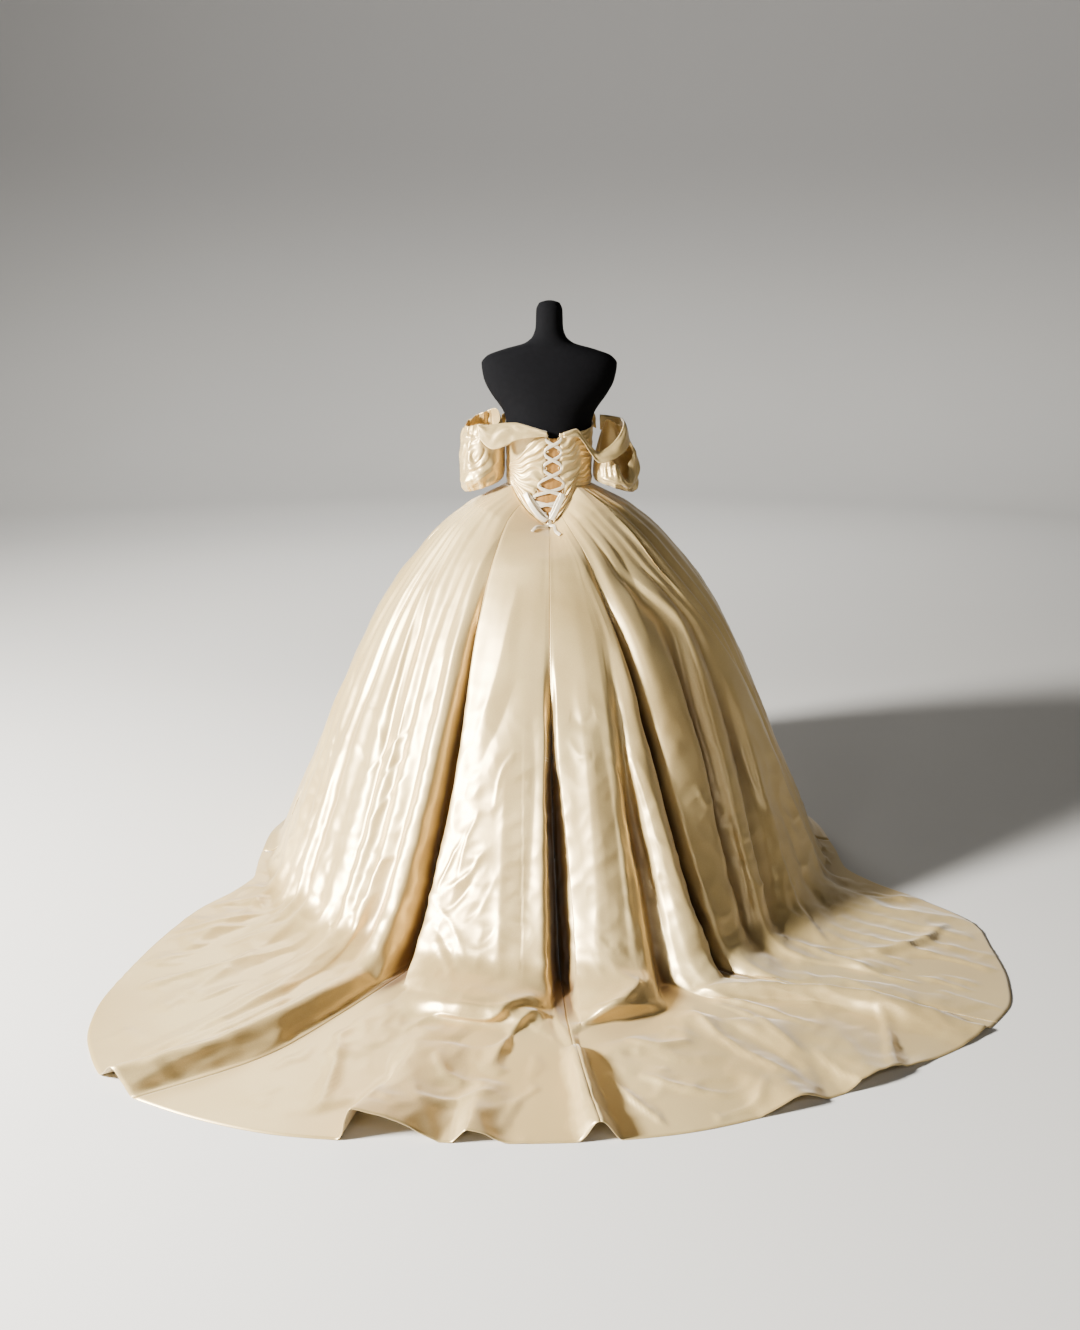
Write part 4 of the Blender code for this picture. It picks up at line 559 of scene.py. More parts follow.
# Azimuth and row of the bar tack, and its thread
TACK = (-1.0, 6.95)
TACK_RADIUS = 0.7 * MM
# Painted shade in the folds, a deeper gold that stands in for their shadow: half the width
# in grid columns over which a fold's depth is measured, the depth at which it sets in, the
# depth that it takes, its most, its last row
FOLD_REACH = 20
SHADE_START = 5.0 * MM
SHADE_DEPTH = 24.0 * MM
SHADE_MOST = 0.9
SHADE_ROW = 13.4
# Unevenness of the skirt: height, seed of its random waves, size of the waves; then the
# rows over which it sets in below the waist
BACK_SWELL = (1.6 * MM, 3, 0.22)
BACK_DENTS = ((2.2 * MM, 4, 0.13), (1.2 * MM, 7, 0.075))
FRONT_SWELLS = ((1.4 * MM, 5, 0.16), (0.5 * MM, 6, 0.05))
WAIST_FADE = 1.2
# Where the foot of the bell is rounded: first and last azimuth at left and right, then the
# first and last row, and how often each point moves toward its neighbours
ROUND_FOOT = ((-96, -30), (32, 80))
ROUND_ROWS = (10.4, 14.4)
ROUND_TIMES = 200

# Creases of each sleeve: width and depth in mm, steepness of the right side, then the
# places along it (turn round the arm from behind it outward, share down the sleeve)
SLEEVE_CREASES = {
    "sleeve_left": (
        (7, 6.0, 1.3, ((-26, 0.34), (-10, 0.24), (8, 0.2), (40, 0.31), (62, 0.54), (46, 0.72),
            (12, 0.69), (-14, 0.56), (-28, 0.4))),
        (5, 5.0, 1.3, ((10, 0.29), (34, 0.38), (42, 0.53), (22, 0.61), (0, 0.52), (-10, 0.39),
            (2, 0.33))),
        (4, 3.5, 1.3, ((14, 0.38), (26, 0.45), (20, 0.53), (6, 0.46))),
        (5, -5.0, 1.0, ((-22, 0.47), (-6, 0.6), (16, 0.66), (44, 0.66))),
        (9, -6.0, 1.0, ((80, 0.8), (52, 0.84), (24, 0.82), (-14, 0.7), (-50, 0.58))),
        (5, -5.0, 1.0, ((52, 0.95), (18, 0.88), (-10, 0.79), (-34, 0.72))),
        (7, 5.0, 1.3, ((70, 0.9), (40, 0.91), (14, 0.94), (-12, 0.9), (-40, 0.8))),
        (6, 5.0, 1.3, ((66, 0.06), (38, 0.1), (12, 0.17))),
        (6, 4.5, 1.3, ((78, 0.2), (50, 0.22), (20, 0.22))),
        (5, -4.0, 1.0, ((72, 0.13), (44, 0.16), (18, 0.19))),
    ),
    "sleeve_right": (
        (4, 4.5, 1.0, ((-62, 0.04), (-58, 0.3), (-48, 0.62))),
        (4, 4.5, 1.0, ((-46, 0.04), (-42, 0.32), (-34, 0.66))),
        (4, 5.0, 1.0, ((-30, 0.03), (-26, 0.34), (-20, 0.66))),
        (4, 4.5, 1.0, ((-14, 0.03), (-11, 0.32), (-6, 0.6))),
        (4, 4.0, 1.0, ((2, 0.03), (5, 0.28), (10, 0.52))),
        (7, 5.0, 1.3, ((-50, 0.74), (-20, 0.8), (14, 0.8), (44, 0.78), (70, 0.84))),
        (6, -5.0, 1.0, ((-56, 0.66), (-22, 0.71), (12, 0.68), (40, 0.64))),
        (6, 4.5, 1.3, ((88, 0.2), (74, 0.44), (60, 0.62), (52, 0.72))),
        (6, -4.5, 1.0, ((96, 0.3), (84, 0.52), (70, 0.7))),
    ),
}

# Camera of the photograph
CAMERA_PLACE = (-0.0249, -3.3, 1.45)
CAMERA_PITCH = 74.51
CAMERA_LENS = 32.1

# Colours as sRGB hex
CHAMPAGNE = "#D3BA80"
CHAMPAGNE_DEEP = "#C0A266"
# Painted shade: the deep gold that the skirt's folds are darkened toward
PAINTED_FOLD_SHADE = "#62411A"
IVORY = "#EBDDBE"
IVORY_DEEP = "#E6D9BE"
GOLD = "#B27F35"
GOLD_DEEP = "#8F6426"
JERSEY = "#050506"
JERSEY_LINT = "#0B0B0D"
METAL = "#2B2B2C"
METAL_WORN = "#353536"
THREAD = "#E9DFC8"
THREAD_LIGHT = "#FFFDF4"
FLOOR = "#BCBAB5"
FLOOR_LIGHT = "#C4C2BD"
WALL = "#8C8A87"

# Lights: name, place, target, size, watts, colour
LIGHTS = (
    ("key", (-4.75, -2.35, 2.7), (0.0, -0.5, 0.5), 0.8, 2400.0, (1.0, 0.98, 0.95)),
    ("front key", (-2.4, -4.9, 2.6), (0.0, -0.6, 0.5), 0.7, 25.0, (1.0, 0.98, 0.95)),
    ("high light", (0.9, -4.6, 4.4), (0.1, -0.5, 0.8), 0.5, 30.0, (1.0, 0.99, 0.97)),
    ("rim", (-1.6, 4.2, 3.4), (0.0, 0.0, 0.8), 1.8, 90.0, (1.0, 0.98, 0.95)),
    ("wall wash", (0.0, 4.0, 6.0), (0.0, 13.5, 2.5), 4.0, 700.0, (1.0, 1.0, 1.0)),
)
SKY = (0.80, 0.82, 0.86, 1.0)
SKY_STRENGTH = 0.02

# Flat cuts: width and length, then how much cloth the folds take up
BACK_FLAT = (0.17, 0.42)
STRIP_LENGTH = 0.18
INSET_FLAT = (0.135, 0.215)
LACING_FLAT = (0.010, 0.52)
TAIL_FLAT = (0.010, 0.09)
SLEEVE_FLAT = (0.62, 0.30)
RUCHED_FULLNESS = 1.15
SLEEVE_FULLNESS = 1.2
BAND_FULLNESS = 1.05
# Most and least share of a flat cut that its cloth fills
MOST_FILLED = 0.97
LEAST_FILLED = 0.45
# A distance past every piece
FAR = 9.0

# Rows at which a gore's columns are spaced
MEASURED_ROWS = (3.0, 7.0, 12.0, 15.0)
# Fine grids
SKIRT_ROW_COUNT = 268
FRONT_ROW_COUNT = 84
GORE_COLUMNS = {
    "skirt_side_left": 166,
    "skirt_back_left": 118,
    "skirt_back_right": 140,
    "skirt_side_right": 172,
    "skirt_front": 150,
}
# Columns and rows of a ruched back panel
BACK_GRID = (84, 116)
SLEEVE_COLUMNS = 168
SLEEVE_ROWS = 76
BAND_COLUMNS = 120
BAND_ROWS = 30
FORM_COLUMNS = 72
# Height above which the form's rings lie closer
FORM_SHOULDER = 1.38

# Stage: how far it lies under the part, radius of its flat and of the sweep, height of the
# wall, sides
FLOOR_SINK = 0.5 * MM
FLAT_FLOOR = 8.0
SWEEP = 6.0
WALL_TOP = 10.0
STAGE_SIDES = 72


def smooth(knots, values, at):
    """Monotone cubic curves through the columns of values at the knots, read at some places."""
    knots = np.asarray(knots, dtype=float)
    values = np.asarray(values, dtype=float)
    at = np.asarray(at, dtype=float)
    step = np.diff(knots)[:, None]
    slope = np.diff(values, axis=0) / step
    before = slope[:-1]
    after = slope[1:]
    near = 2.0 * step[1:] + step[:-1]
    far = step[1:] + 2.0 * step[:-1]
    same = before * after > 0.0
    safe_before = np.where(same, before, 1.0)
    safe_after = np.where(same, after, 1.0)
    inner = np.where(same, (near + far) / (near / safe_before + far / safe_after), 0.0)
    tangent = np.vstack([slope[:1], inner, slope[-1:]])
    span = np.clip(np.searchsorted(knots, at, side="right") - 1, 0, len(knots) - 2)
    t = ((at - knots[span]) / step[span, 0])[:, None]
    width = step[span]
    low = values[span]
    high = values[span + 1]
    return (low * (1.0 + 2.0 * t) * (1.0 - t) ** 2
            + high * t ** 2 * (3.0 - 2.0 * t)
            + width * tangent[span] * t * (1.0 - t) ** 2
            - width * tangent[span + 1] * t ** 2 * (1.0 - t))


def read(table, at):
    """A table's other columns as smooth curves over its first, read at places of any shape."""
    table = np.array(table)
    at = np.asarray(at, dtype=float)
    found = smooth(table[:, 0], table[:, 1:], at.ravel())
    return found.reshape(at.shape + (-1,)) if table.shape[1] > 2 else found.reshape(at.shape)


def curve(values, count):
    """Evenly spaced places on a smooth curve through the values."""
    return smooth(np.linspace(0.0, 1.0, len(values)), values, np.linspace(0.0, 1.0, count))


def ramp(value, width):
    """0 up to 1 while a value grows from 0 to a width."""
    return np.clip(value / width, 0.0, 1.0)


def unit(vectors):
    """Vectors brought to length 1."""
    return vectors / np.linalg.norm(vectors, axis=-1, keepdims=True)


def relax(path, times):
    """Smooths a path in place by the mean of neighbours; its ends stay."""
    for _ in range(times):
        path[1:-1] = (path[:-2] + 2.0 * path[1:-1] + path[2:]) / 4.0


def turned(azimuth):
    """An azimuth brought between -180 and 180 degrees."""
    return (np.asarray(azimuth, dtype=float) + 180.0) % 360.0 - 180.0


def bump(distance):
    """1 at no distance, falling smoothly to 0 at a distance of 1."""
    inside = np.clip(1.0 - np.abs(distance), 0.0, 1.0)
    return inside * inside * (3.0 - 2.0 * inside)


def power(value, exponent):
    """A power that keeps the sign of its base."""
    return np.sign(value) * np.abs(value) ** exponent


def form_ring(azimuth, height, offset):
    """Points on the form's rounded oblong ring at a height, moved out by an offset."""
    azimuth, height, offset = np.broadcast_arrays(azimuth, height, offset)
    angle = np.radians(azimuth)
    half = read(FORM_RINGS, height) + offset[..., None]
    rounding = 2.0 / FORM_SQUARENESS
    depth = np.where(np.cos(angle) > 0.0, half[..., 1], half[..., 2])
    x = half[..., 0] * power(np.sin(angle), rounding)
    y = -depth * power(np.cos(angle), rounding)
    return np.stack([x, y, height], axis=-1)


def azimuth_of(x, height):
    """Azimuth on the back of the form, at a height, that lies at a sideways distance x."""
    share = np.clip(x / (read(FORM_RINGS, height)[..., 0] + BODICE_OFFSET), -1.0, 1.0)
    return np.degrees(np.arcsin(power(share, FORM_SQUARENESS / 2.0)))


def waist_point(azimuth):
    """How far into the back point (0 to 1) the waist seam is, and its height there."""
    azimuth = turned(azimuth)
    reach = np.where(azimuth < 0.0, V_END_LEFT, V_END_RIGHT)
    point = np.clip(1.0 - np.abs(azimuth) / reach, 0.0, 1.0)
    return point, WAIST_HEIGHT - (WAIST_HEIGHT - V_TIP_HEIGHT) * point


def grid_faces(rows, columns, closed):
    """Four-sided faces of a grid whose points are numbered row by row."""
    wrap = columns if closed else columns - 1
    row, column = np.meshgrid(np.arange(rows - 1), np.arange(wrap), indexing="ij")
    after = (column + 1) % columns
    first = row * columns
    return np.stack([first + column, first + after, first + columns + after,
                     first + columns + column], axis=-1).reshape(-1, 4)


def tube_faces(rows, columns):
    """Faces of a tube of closed rings, with one flat face at each end."""
    last = (rows - 1) * columns
    ends = [list(range(columns))[::-1], list(range(last, last + columns))]
    return grid_faces(rows, columns, True).tolist() + ends


def patch(bottom, top, start, end, u, v):
    """Coons patch: a grid that fills the space between four edge curves."""
    u = u[None, :, None]
    v = v[:, None, None]
    sides = start[:, None] * (1.0 - u) + end[:, None] * u
    ends = bottom[None] * (1.0 - v) + top[None] * v
    corners = (bottom[0] * (1.0 - u) * (1.0 - v) + bottom[-1] * u * (1.0 - v)
               + top[0] * (1.0 - u) * v + top[-1] * u * v)
    return sides + ends - corners


def bodice_top(azimuth):
    """Height of the bodice's top edge."""
    return read(BODICE_TOP, np.abs(turned(azimuth)))


def opening_edge(side, height):
    """Sideways place of the laced opening's left (side below 0) or right edge at a height."""
    return read(OPENING, height)[..., 0 if side < 0.0 else 1]


def skirt_lines():
    """Azimuths and heights of all fold lines, once round from the left side seam.

    The back's small folds are softened, because the creases below take their place.
    """
    azimuths = [line[1] for line in FOLDS]
    heights = [(0.0,) + line[2] for line in FOLDS]
    first = np.array(FOLDS[-1][1], dtype=float)
    last = np.array(FOLDS[0][1], dtype=float) + 360.0
    for k in range(FRONT_PLEATS):
        share = (k + 1.0 + 0.18 * math.sin(2.3 * k)) / (FRONT_PLEATS + 1.0)
        azimuths.append(first + (last - first) * share)
        size = 1.0 + 0.3 * math.sin(1.7 * k + 0.5)
        deep = FRONT_PLEAT_HEIGHT if k % 2 == 0 else FRONT_PLEAT_DEPTH
        foot = 0.6 * FRONT_PLEAT_HEIGHT if k % 2 == 0 else 0.0
        heights.append((0.0, 0.5 * deep, 0.8 * deep, size * deep, size * deep, deep, foot, foot))
    heights = np.array(heights, dtype=float)
    soft = 0.45 + 0.55 * ramp(np.abs(heights) - 7.0, 6.0)
    heights[:len(FOLDS)] *= soft[:len(FOLDS)]
    return np.array(azimuths, dtype=float), heights * MM


def fold_places(columns, rows):
    """Azimuth and height of the folds on a grid of fold columns and profile rows.

    A column is a place between the numbered fold lines.  A row is a place down the cloth:
    0 is the waist seam, 12 is where the cloth meets the floor, 16 is the hem of the train.
    """
    azimuths, heights = skirt_lines()
    count = len(azimuths)
    order = np.arange(-3, count + 4)
    wrapped = azimuths[order % count] + (np.floor_divide(order, count) * 360.0)[:, None]
    lift = heights[order % count]
    return (smooth(FOLD_ROWS, smooth(order, wrapped, columns).T, rows),
            smooth(FOLD_ROWS, smooth(order, lift, columns).T, rows))


def skirt_grid(columns, rows):
    """Points of the skirt's outer face on a grid of fold columns and profile rows."""
    azimuth, height = fold_places(columns, rows)
    return skirt_surface(azimuth, np.asarray(rows, dtype=float)[:, None] + 0.0 * azimuth, height)


def skirt_surface(azimuth, row, height):
    """A point of the skirt for an azimuth, a row down the cloth and a height off the form.

    The plain skirt is an oval bell whose half width and depths come from SKIRT_ROWS, laid on
    the floor from row 12 to the hem.  The height moves a point along the fold direction,
    which leans from outward on the bell to upward on the floor.
    """
    angle = np.radians(azimuth)
    table = np.array(SKIRT_ROWS)
    point, seam = waist_point(azimuth)
    soft = point * point * (3.0 - 2.0 * point)
    seam_point = form_ring(azimuth, seam - WAIST_SEAM_GAP / 2.0, BODICE_OFFSET)
    shape = read(SKIRT_ROWS, np.clip(row, 1.0, FLOOR_ROW))
    bell_height = shape[..., 0] - shape[..., 1] * soft
    depth = np.where(np.cos(angle) > 0.0, shape[..., 3], shape[..., 4])
    bell = np.stack([shape[..., 2] * np.sin(angle), -depth * np.cos(angle), bell_height], axis=-1)
    top = np.clip(1.0 - row, 0.0, 1.0)[..., None]
    bell = bell * (1.0 - top) + seam_point * top

    far = read(HEM, turned(azimuth))
    hem_point = np.stack([far * np.sin(angle), -far * np.cos(angle), 0.0 * far], axis=-1)
    out = ramp(row - FLOOR_ROW, HEM_ROW - FLOOR_ROW)[..., None]
    base = bell * (1.0 - out) + hem_point * out

    lean = read([(0.0, table[0, 6]), *table[:, [0, 6]]], np.minimum(row, FLOOR_ROW))
    train = read(TRAIN_LEAN, np.maximum(row, FLOOR_ROW))
    laid = ramp(far - np.linalg.norm(bell[..., :2], axis=-1), LONG_TRAIN)
    lean = np.radians(lean + (90.0 - lean) * train * laid)
    outward = unit(np.stack([np.sin(angle) / shape[..., 2], -np.cos(angle) / depth], axis=-1))
    base[..., :2] += outward * (height * np.cos(lean))[..., None]
    base[..., 2] += height * np.sin(lean)

    for middle, half, reach, rise in FLOOR_ROLLS:
        near = bump((azimuth - middle) / half) ** 0.5
        swell = near * bump((row - SWELL[0]) / SWELL[1])
        tuck = near * bump((row - TUCK[0]) / TUCK[1])
        base[..., :2] += outward * (reach * swell - 0.6 * reach * tuck)[..., None]
        base[..., 2] += rise * swell - rise * 0.75 * tuck
    base[..., 2] = np.maximum(base[..., 2], SATIN)
    return base


def linear(code):
    """Linear colour of an sRGB hex code."""
    values = [int(code[i:i + 2], 16) / 255.0 for i in (1, 3, 5)]
    return [v / 12.92 if v <= 0.04045 else ((v + 0.055) / 1.055) ** 2.4 for v in values] + [1.0]


def set_inputs(tree, node, values):
    """Links a node's inputs to other nodes' outputs, or gives them values."""
    for key, value in values.items():
        if hasattr(value, "links"):
            tree.links.new(value, node.inputs[key])
        else:
            node.inputs[key].default_value = value


def add_node(tree, kind, values, **settings):
    """Adds a shader node with its properties and inputs."""
    node = tree.nodes.new(kind)
    for key, value in settings.items():
        setattr(node, key, value)
    set_inputs(tree, node, values)
    return node


def noise(tree, place, scale, detail):
    """A noise texture's grey."""
    values = {"Vector": place, "Scale": scale, "Detail": detail}
    return add_node(tree, "ShaderNodeTexNoise", values).outputs["Fac"]


def blend(tree, factor, low, high):
    """A colour between two, each a hex code or another node's colour."""
    low, high = [linear(side) if isinstance(side, str) else side for side in (low, high)]
    values = {"Factor": factor, "A": low, "B": high}
    return add_node(tree, "ShaderNodeMix", values, data_type="RGBA").outputs["Result"]


def between(tree, value, limits, **settings):
    """A value brought to other limits."""
    return add_node(tree, "ShaderNodeMapRange", {"Value": value, **limits}, **settings).outputs[0]


def relief(tree, height, strength, distance, **over):
    """A normal that a height pushes about."""
    values = {"Height": height, "Strength": strength, "Distance": distance, **over}
    return add_node(tree, "ShaderNodeBump", values).outputs[0]


def new_material(name):
    """An empty node material with its Principled shader: (material, tree, shader, place)."""
    material = bpy.data.materials.new(name)
    material.use_nodes = True
    tree = material.node_tree
    place = add_node(tree, "ShaderNodeTexCoord", {}).outputs["Object"]
    return material, tree, tree.nodes["Principled BSDF"], place


def satin_material(name, base, deep, roughness):
    """Heavy satin: a soft gloss, a faint slub in its colour, fine handling creases, and painted
    shade in deep folds.
    """
    material, tree, shader, place = new_material(name)
    cloud = noise(tree, place, 3.2, 3.0)
    slub = noise(tree, place, 620.0, 2.0)
    both = add_node(tree, "ShaderNodeMath", {0: cloud, 1: slub}, operation="ADD").outputs[0]
    plain = blend(tree, between(tree, both, {"From Min": 0.7, "From Max": 1.3}), deep, base)
    # Painted shade: how deep in a fold each point lies, where a piece carries it
    fold = add_node(tree, "ShaderNodeAttribute", {}, attribute_name="painted_fold_shade")
    floats = add_node(tree, "ShaderNodeTangent", {}, direction_type="RADIAL", axis="Z")
    crease = add_node(tree, "ShaderNodeTexNoise", {"Vector": place, "Scale": 11.0, "Detail": 2.0,
                                                   "Roughness": 0.45, "Distortion": 0.5},
                      noise_type="RIDGED_MULTIFRACTAL")
    soft = relief(tree, crease.outputs["Fac"], 0.22, 1.6 * MM)
    weave = noise(tree, place, 900.0, 1.0)
    set_inputs(tree, shader, {
        # Painted shade: the colour darkens toward deep gold in the folds
        "Base Color": blend(tree, fold.outputs["Fac"], plain, PAINTED_FOLD_SHADE),
        "Roughness": between(tree, cloud, {"To Min": roughness - 0.05,
                                           "To Max": roughness + 0.05}),
        "Metallic": 0.48,
        "Specular IOR Level": 1.0,
        "Anisotropic": 0.5,
        "Anisotropic Rotation": 0.25,
        "Tangent": floats.outputs[0],
        "Sheen Weight": 0.25,
        "Sheen Roughness": 0.4,
        "Coat Weight": 0.12,
        "Coat Roughness": 0.36,
        "Normal": relief(tree, weave, 0.25, 0.2 * MM, Normal=soft),
    })
    return material


def jersey_material():
    """Black knitted jersey, stretched over the form: fine ribs across and a little lint."""
    material, tree, shader, place = new_material("black_jersey")
    knit = add_node(tree, "ShaderNodeTexWave", {"Vector": place, "Scale": 260.0,
                                                "Distortion": 1.5, "Detail": 1.0},
                    bands_direction="Z")
    set_inputs(tree, shader, {
        "Base Color": blend(tree, noise(tree, place, 90.0, 5.0), JERSEY, JERSEY_LINT),
        "Roughness": 0.88,
        "Specular IOR Level": 0.06,
        "Normal": relief(tree, knit.outputs["Fac"], 0.4, 0.4 * MM),
    })
    return material


def metal_material():
    """Dark powder-coated steel: a fine orange peel and slightly worn gloss."""
    material, tree, shader, place = new_material("powder_coated_steel")
    wear = noise(tree, place, 14.0, 4.0)
    set_inputs(tree, shader, {
        "Base Color": blend(tree, wear, METAL, METAL_WORN),
        "Roughness": between(tree, wear, {"To Min": 0.35, "To Max": 0.55}),
        "Metallic": 0.5,
        "Normal": relief(tree, noise(tree, place, 450.0, 2.0), 0.3, 0.2 * MM),
    })
    return material


def thread_material():
    """Spun polyester sewing thread: matt, with its ply drawn as a fine wave."""
    material, tree, shader, place = new_material("spun_thread")
    ply = add_node(tree, "ShaderNodeTexWave", {"Vector": place, "Scale": 420.0, "Distortion": 1.0})
    set_inputs(tree, shader, {
        "Base Color": blend(tree, ply.outputs["Fac"], THREAD, THREAD_LIGHT),
        "Roughness": 0.7,
    })
    return material


def floor_material():
    """The floor's faint clouds, darker up the wall."""
    material, tree, shader, place = new_material("pale_floor")
    cloud = add_node(tree, "ShaderNodeTexNoise", {"Vector": place, "Scale": 0.4}).outputs["Fac"]
    height = add_node(tree, "ShaderNodeSeparateXYZ", {0: place}).outputs["Z"]
    rising = between(tree, height, {"From Max": 4.0}, interpolation_type="SMOOTHSTEP")
    set_inputs(tree, shader, {
        "Base Color": blend(tree, rising, blend(tree, cloud, FLOOR, FLOOR_LIGHT), WALL),
        "Roughness": 0.85,
    })
    return material


def new_object(name, points, faces, material):
    """A smooth mesh object in the scene."""
    mesh = bpy.data.meshes.new(name)
    mesh.from_pydata(points.reshape(-1, 3).tolist(), [], faces)
    mesh.shade_smooth()
    mesh.materials.append(material)
    made = bpy.data.objects.new(name, mesh)
    bpy.context.scene.collection.objects.link(made)
    return made


def surface(name, points, wall, material, closed=False, outward=True, offset=-1.0):
    """A piece of cloth over a grid of points, its wall on the inner side or about the middle."""
    faces = grid_faces(*points.shape[:2], closed)
    if not outward:
        faces = faces[:, ::-1]
    piece = new_object(name + "_cloth", points, faces.tolist(), material)
    shell = piece.modifiers.new("cloth", "SOLIDIFY")
    shell.thickness = wall
    shell.offset = offset
    return piece


def stand_for(piece, slot, *nodes):
    """The piece rides on the one body and takes the place of its CAD nodes."""
    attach(piece, "root")
    if nodes:
        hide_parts(*nodes)
    return piece


def lay_cut(points, flat, fullness, closed=False):
    """Works out a piece's flat cut, its measured area times the fullness its folds take up, but
    keeps nothing.

    The flat length is the stated one, or else what the area needs to fill the flat size well.
    """
    whole = np.concatenate([points, points[:, :1]], axis=1) if closed else points
    area = area_of(whole) * fullness
    wide, tall = flat
    tall = min(max(tall, area / wide / MOST_FILLED), area / wide / LEAST_FILLED)


def area_of(points):
    """Area of a grid of points."""
    a = points[1:, 1:] - points[:-1, :-1]
    b = points[1:, :-1] - points[:-1, 1:]
    return float(np.linalg.norm(np.cross(a, b), axis=-1).sum() / 2.0)


def normals_of(points, closed=False):
    """Unit normals of a grid: the cross product of its steps down and across."""
    if closed:
        across = np.roll(points, -1, axis=1) - np.roll(points, 1, axis=1)
    else:
        across = np.gradient(points, axis=1)
    return unit(np.cross(np.gradient(points, axis=0), across))


def ripple(points, seed, size, count=14):
    """Smooth unevenness in space: a sum of sine waves of about one size, from -1 to 1."""
    rng = np.random.default_rng(seed)
    total = np.zeros(points.shape[:-1])
    for _ in range(count):
        wave = rng.normal(size=3)
        wave = wave / np.linalg.norm(wave) * rng.uniform(0.7, 1.6) * 2.0 * math.pi / size
        total += np.sin(points @ wave + rng.uniform(0.0, 6.28))
    return total / math.sqrt(count)


def even_places(knots, lengths, count):
    """Places along knots that lie at even steps of the length between them."""
    total = np.concatenate([[0.0], np.cumsum(lengths)])
    return np.interp(np.linspace(0.0, total[-1], count), total, knots)


def gore_columns(first, last, count):
    """Columns from one fold line to another, evenly spaced over the cloth."""
    knots = np.linspace(first, last, 400)
    steps = np.linalg.norm(np.diff(skirt_grid(knots, MEASURED_ROWS), axis=1), axis=-1)
    return even_places(knots, steps.mean(axis=0), count)


def row_places(columns, count):
    """Rows from waist to hem, evenly spaced over the cloth at some columns."""
    knots = np.linspace(0.0, HEM_ROW, 500)
    steps = np.linalg.norm(np.diff(skirt_grid(columns, knots), axis=0), axis=-1)
    return even_places(knots, steps.mean(axis=1), count)


def skirt_block(gores, rows):
    """The skirt's outer face over some neighbouring gores, with the seam columns' numbers."""
    names = [line[0] for line in FOLDS]
    parts = []
    seams = [0]
    for gore, first, last in gores:
        start = names.index(first)
        end = names.index(last)
        if end < start:
            end += len(names) + FRONT_PLEATS
        columns = gore_columns(start, end, GORE_COLUMNS[gore])
        parts.append(columns if not parts else columns[1:])
        seams.append(seams[-1] + len(columns) - 1)
    columns = np.concatenate(parts)
    return skirt_grid(columns, rows), columns, seams


def nearest(where, rows, azimuth, row):
    """Numbers of the grid point that is nearest to an azimuth and a row."""
    i = int(np.abs(rows - row).argmin())
    return i, int(np.abs(where[i] - azimuth).argmin())


def press(points, normals, where, rows, path, width, depth, steep):
    """Height of one crease: a soft trough (depth below 0) or ridge along a path.

    The path is given by azimuth and row.  The crease's section is a bell curve of the
    distance to the path, steeper on the path's right when steep is above 1.  It fades out
    toward both ends of the path.
    """
    found = np.array([points[nearest(where, rows, *place)] for place in curve(path, CREASE_POINTS)])
    relax(found, 3)
    reach = CREASE_REACH * width
    near = (points > found.min(axis=0) - reach) & (points < found.max(axis=0) + reach)
    near = near.all(axis=-1)
    cloud = points[near]
    facing = normals[near]
    best = np.full(len(cloud), FAR)
    side = np.zeros(len(cloud))
    along = np.zeros(len(cloud))
    for k in range(len(found) - 1):
        start = found[k]
        run = found[k + 1] - start
        part = np.clip((cloud - start) @ run / (run @ run + 1e-12), 0.0, 1.0)
        off = cloud - start - part[:, None] * run
        distance = np.linalg.norm(off, axis=-1)
        closer = distance < best
        best[closer] = distance[closer]
        along[closer] = (k + part[closer]) / (len(found) - 1)
        side[closer] = np.einsum("ij,ij->i", np.cross(run, off), facing)[closer]
    narrow = np.where(side > 0.0, width, width / steep)
    fade = np.sin(np.clip(along, 0.0, 1.0) * math.pi) ** CREASE_FADE
    height = np.zeros(points.shape[:2])
    height[near] = depth * np.exp(-((best / narrow) ** CREASE_SECTION)) * fade
    return height


def crease_all(points, normals, where, rows):
    """Height of every crease of the table and of the train's long pleats, added up."""
    height = np.zeros(points.shape[:2])
    for _, width, depth, steep, path in CREASES:
        height += press(points, normals, where, rows, path, width * MM, depth * MM, steep)
    rng = np.random.default_rng(8)
    for first, last, count, width, depth, high, low in TRAIN_LINES:
        gap = (last - first) / (count - 1)
        for k in range(count):
            azimuth = first + gap * (k + rng.uniform(-0.3, 0.3))
            start = high + rng.uniform(-0.5, 0.9)
            drift = gap * rng.uniform(-0.9, 0.9)
            path = ((azimuth, start), (azimuth + 0.6 * drift, (start + low) / 2.0),
                    (azimuth + drift, low))
            size = depth * rng.uniform(0.6, 1.2)
            height += press(points, normals, where, rows, path, width * MM, size * MM, LINE_STEEP)
    return height


def round_foot(points, where, rows):
    """Rounds the hollow corner where the bell's sides run out onto the floor."""
    soft = np.zeros(where.shape)
    for first, last in ROUND_FOOT:
        soft = np.maximum(soft, ramp(where - first, 9.0) * ramp(last - where, 9.0))
    down = ramp(rows - ROUND_ROWS[0], 1.2) * ramp(ROUND_ROWS[1] - rows, 1.2)
    share = (soft * down[:, None])[1:-1, :, None]
    for _ in range(ROUND_TIMES):
        middle = (points[:-2] + 2.0 * points[1:-1] + points[2:]) / 4.0
        points[1:-1] += (middle - points[1:-1]) * share


def painted_fold_shade(points, rows):
    """Painted shade, 0 to 1, by how deep each point lies in a fold, on the standing part of the
    skirt.
    """
    reach = np.hypot(points[..., 0], points[..., 1])
    around = reach.copy()
    width = 2 * FOLD_REACH + 1
    for _ in range(3):
        wide = np.pad(around, ((0, 0), (FOLD_REACH, FOLD_REACH)), mode="edge")
        sums = np.cumsum(np.pad(wide, ((0, 0), (1, 0))), axis=1)
        around = (sums[:, width:] - sums[:, :-width]) / width
    low = ramp(SHADE_ROW - rows, 1.2)[:, None]
    return np.clip((around - reach - SHADE_START) / SHADE_DEPTH, 0.0, SHADE_MOST) * low


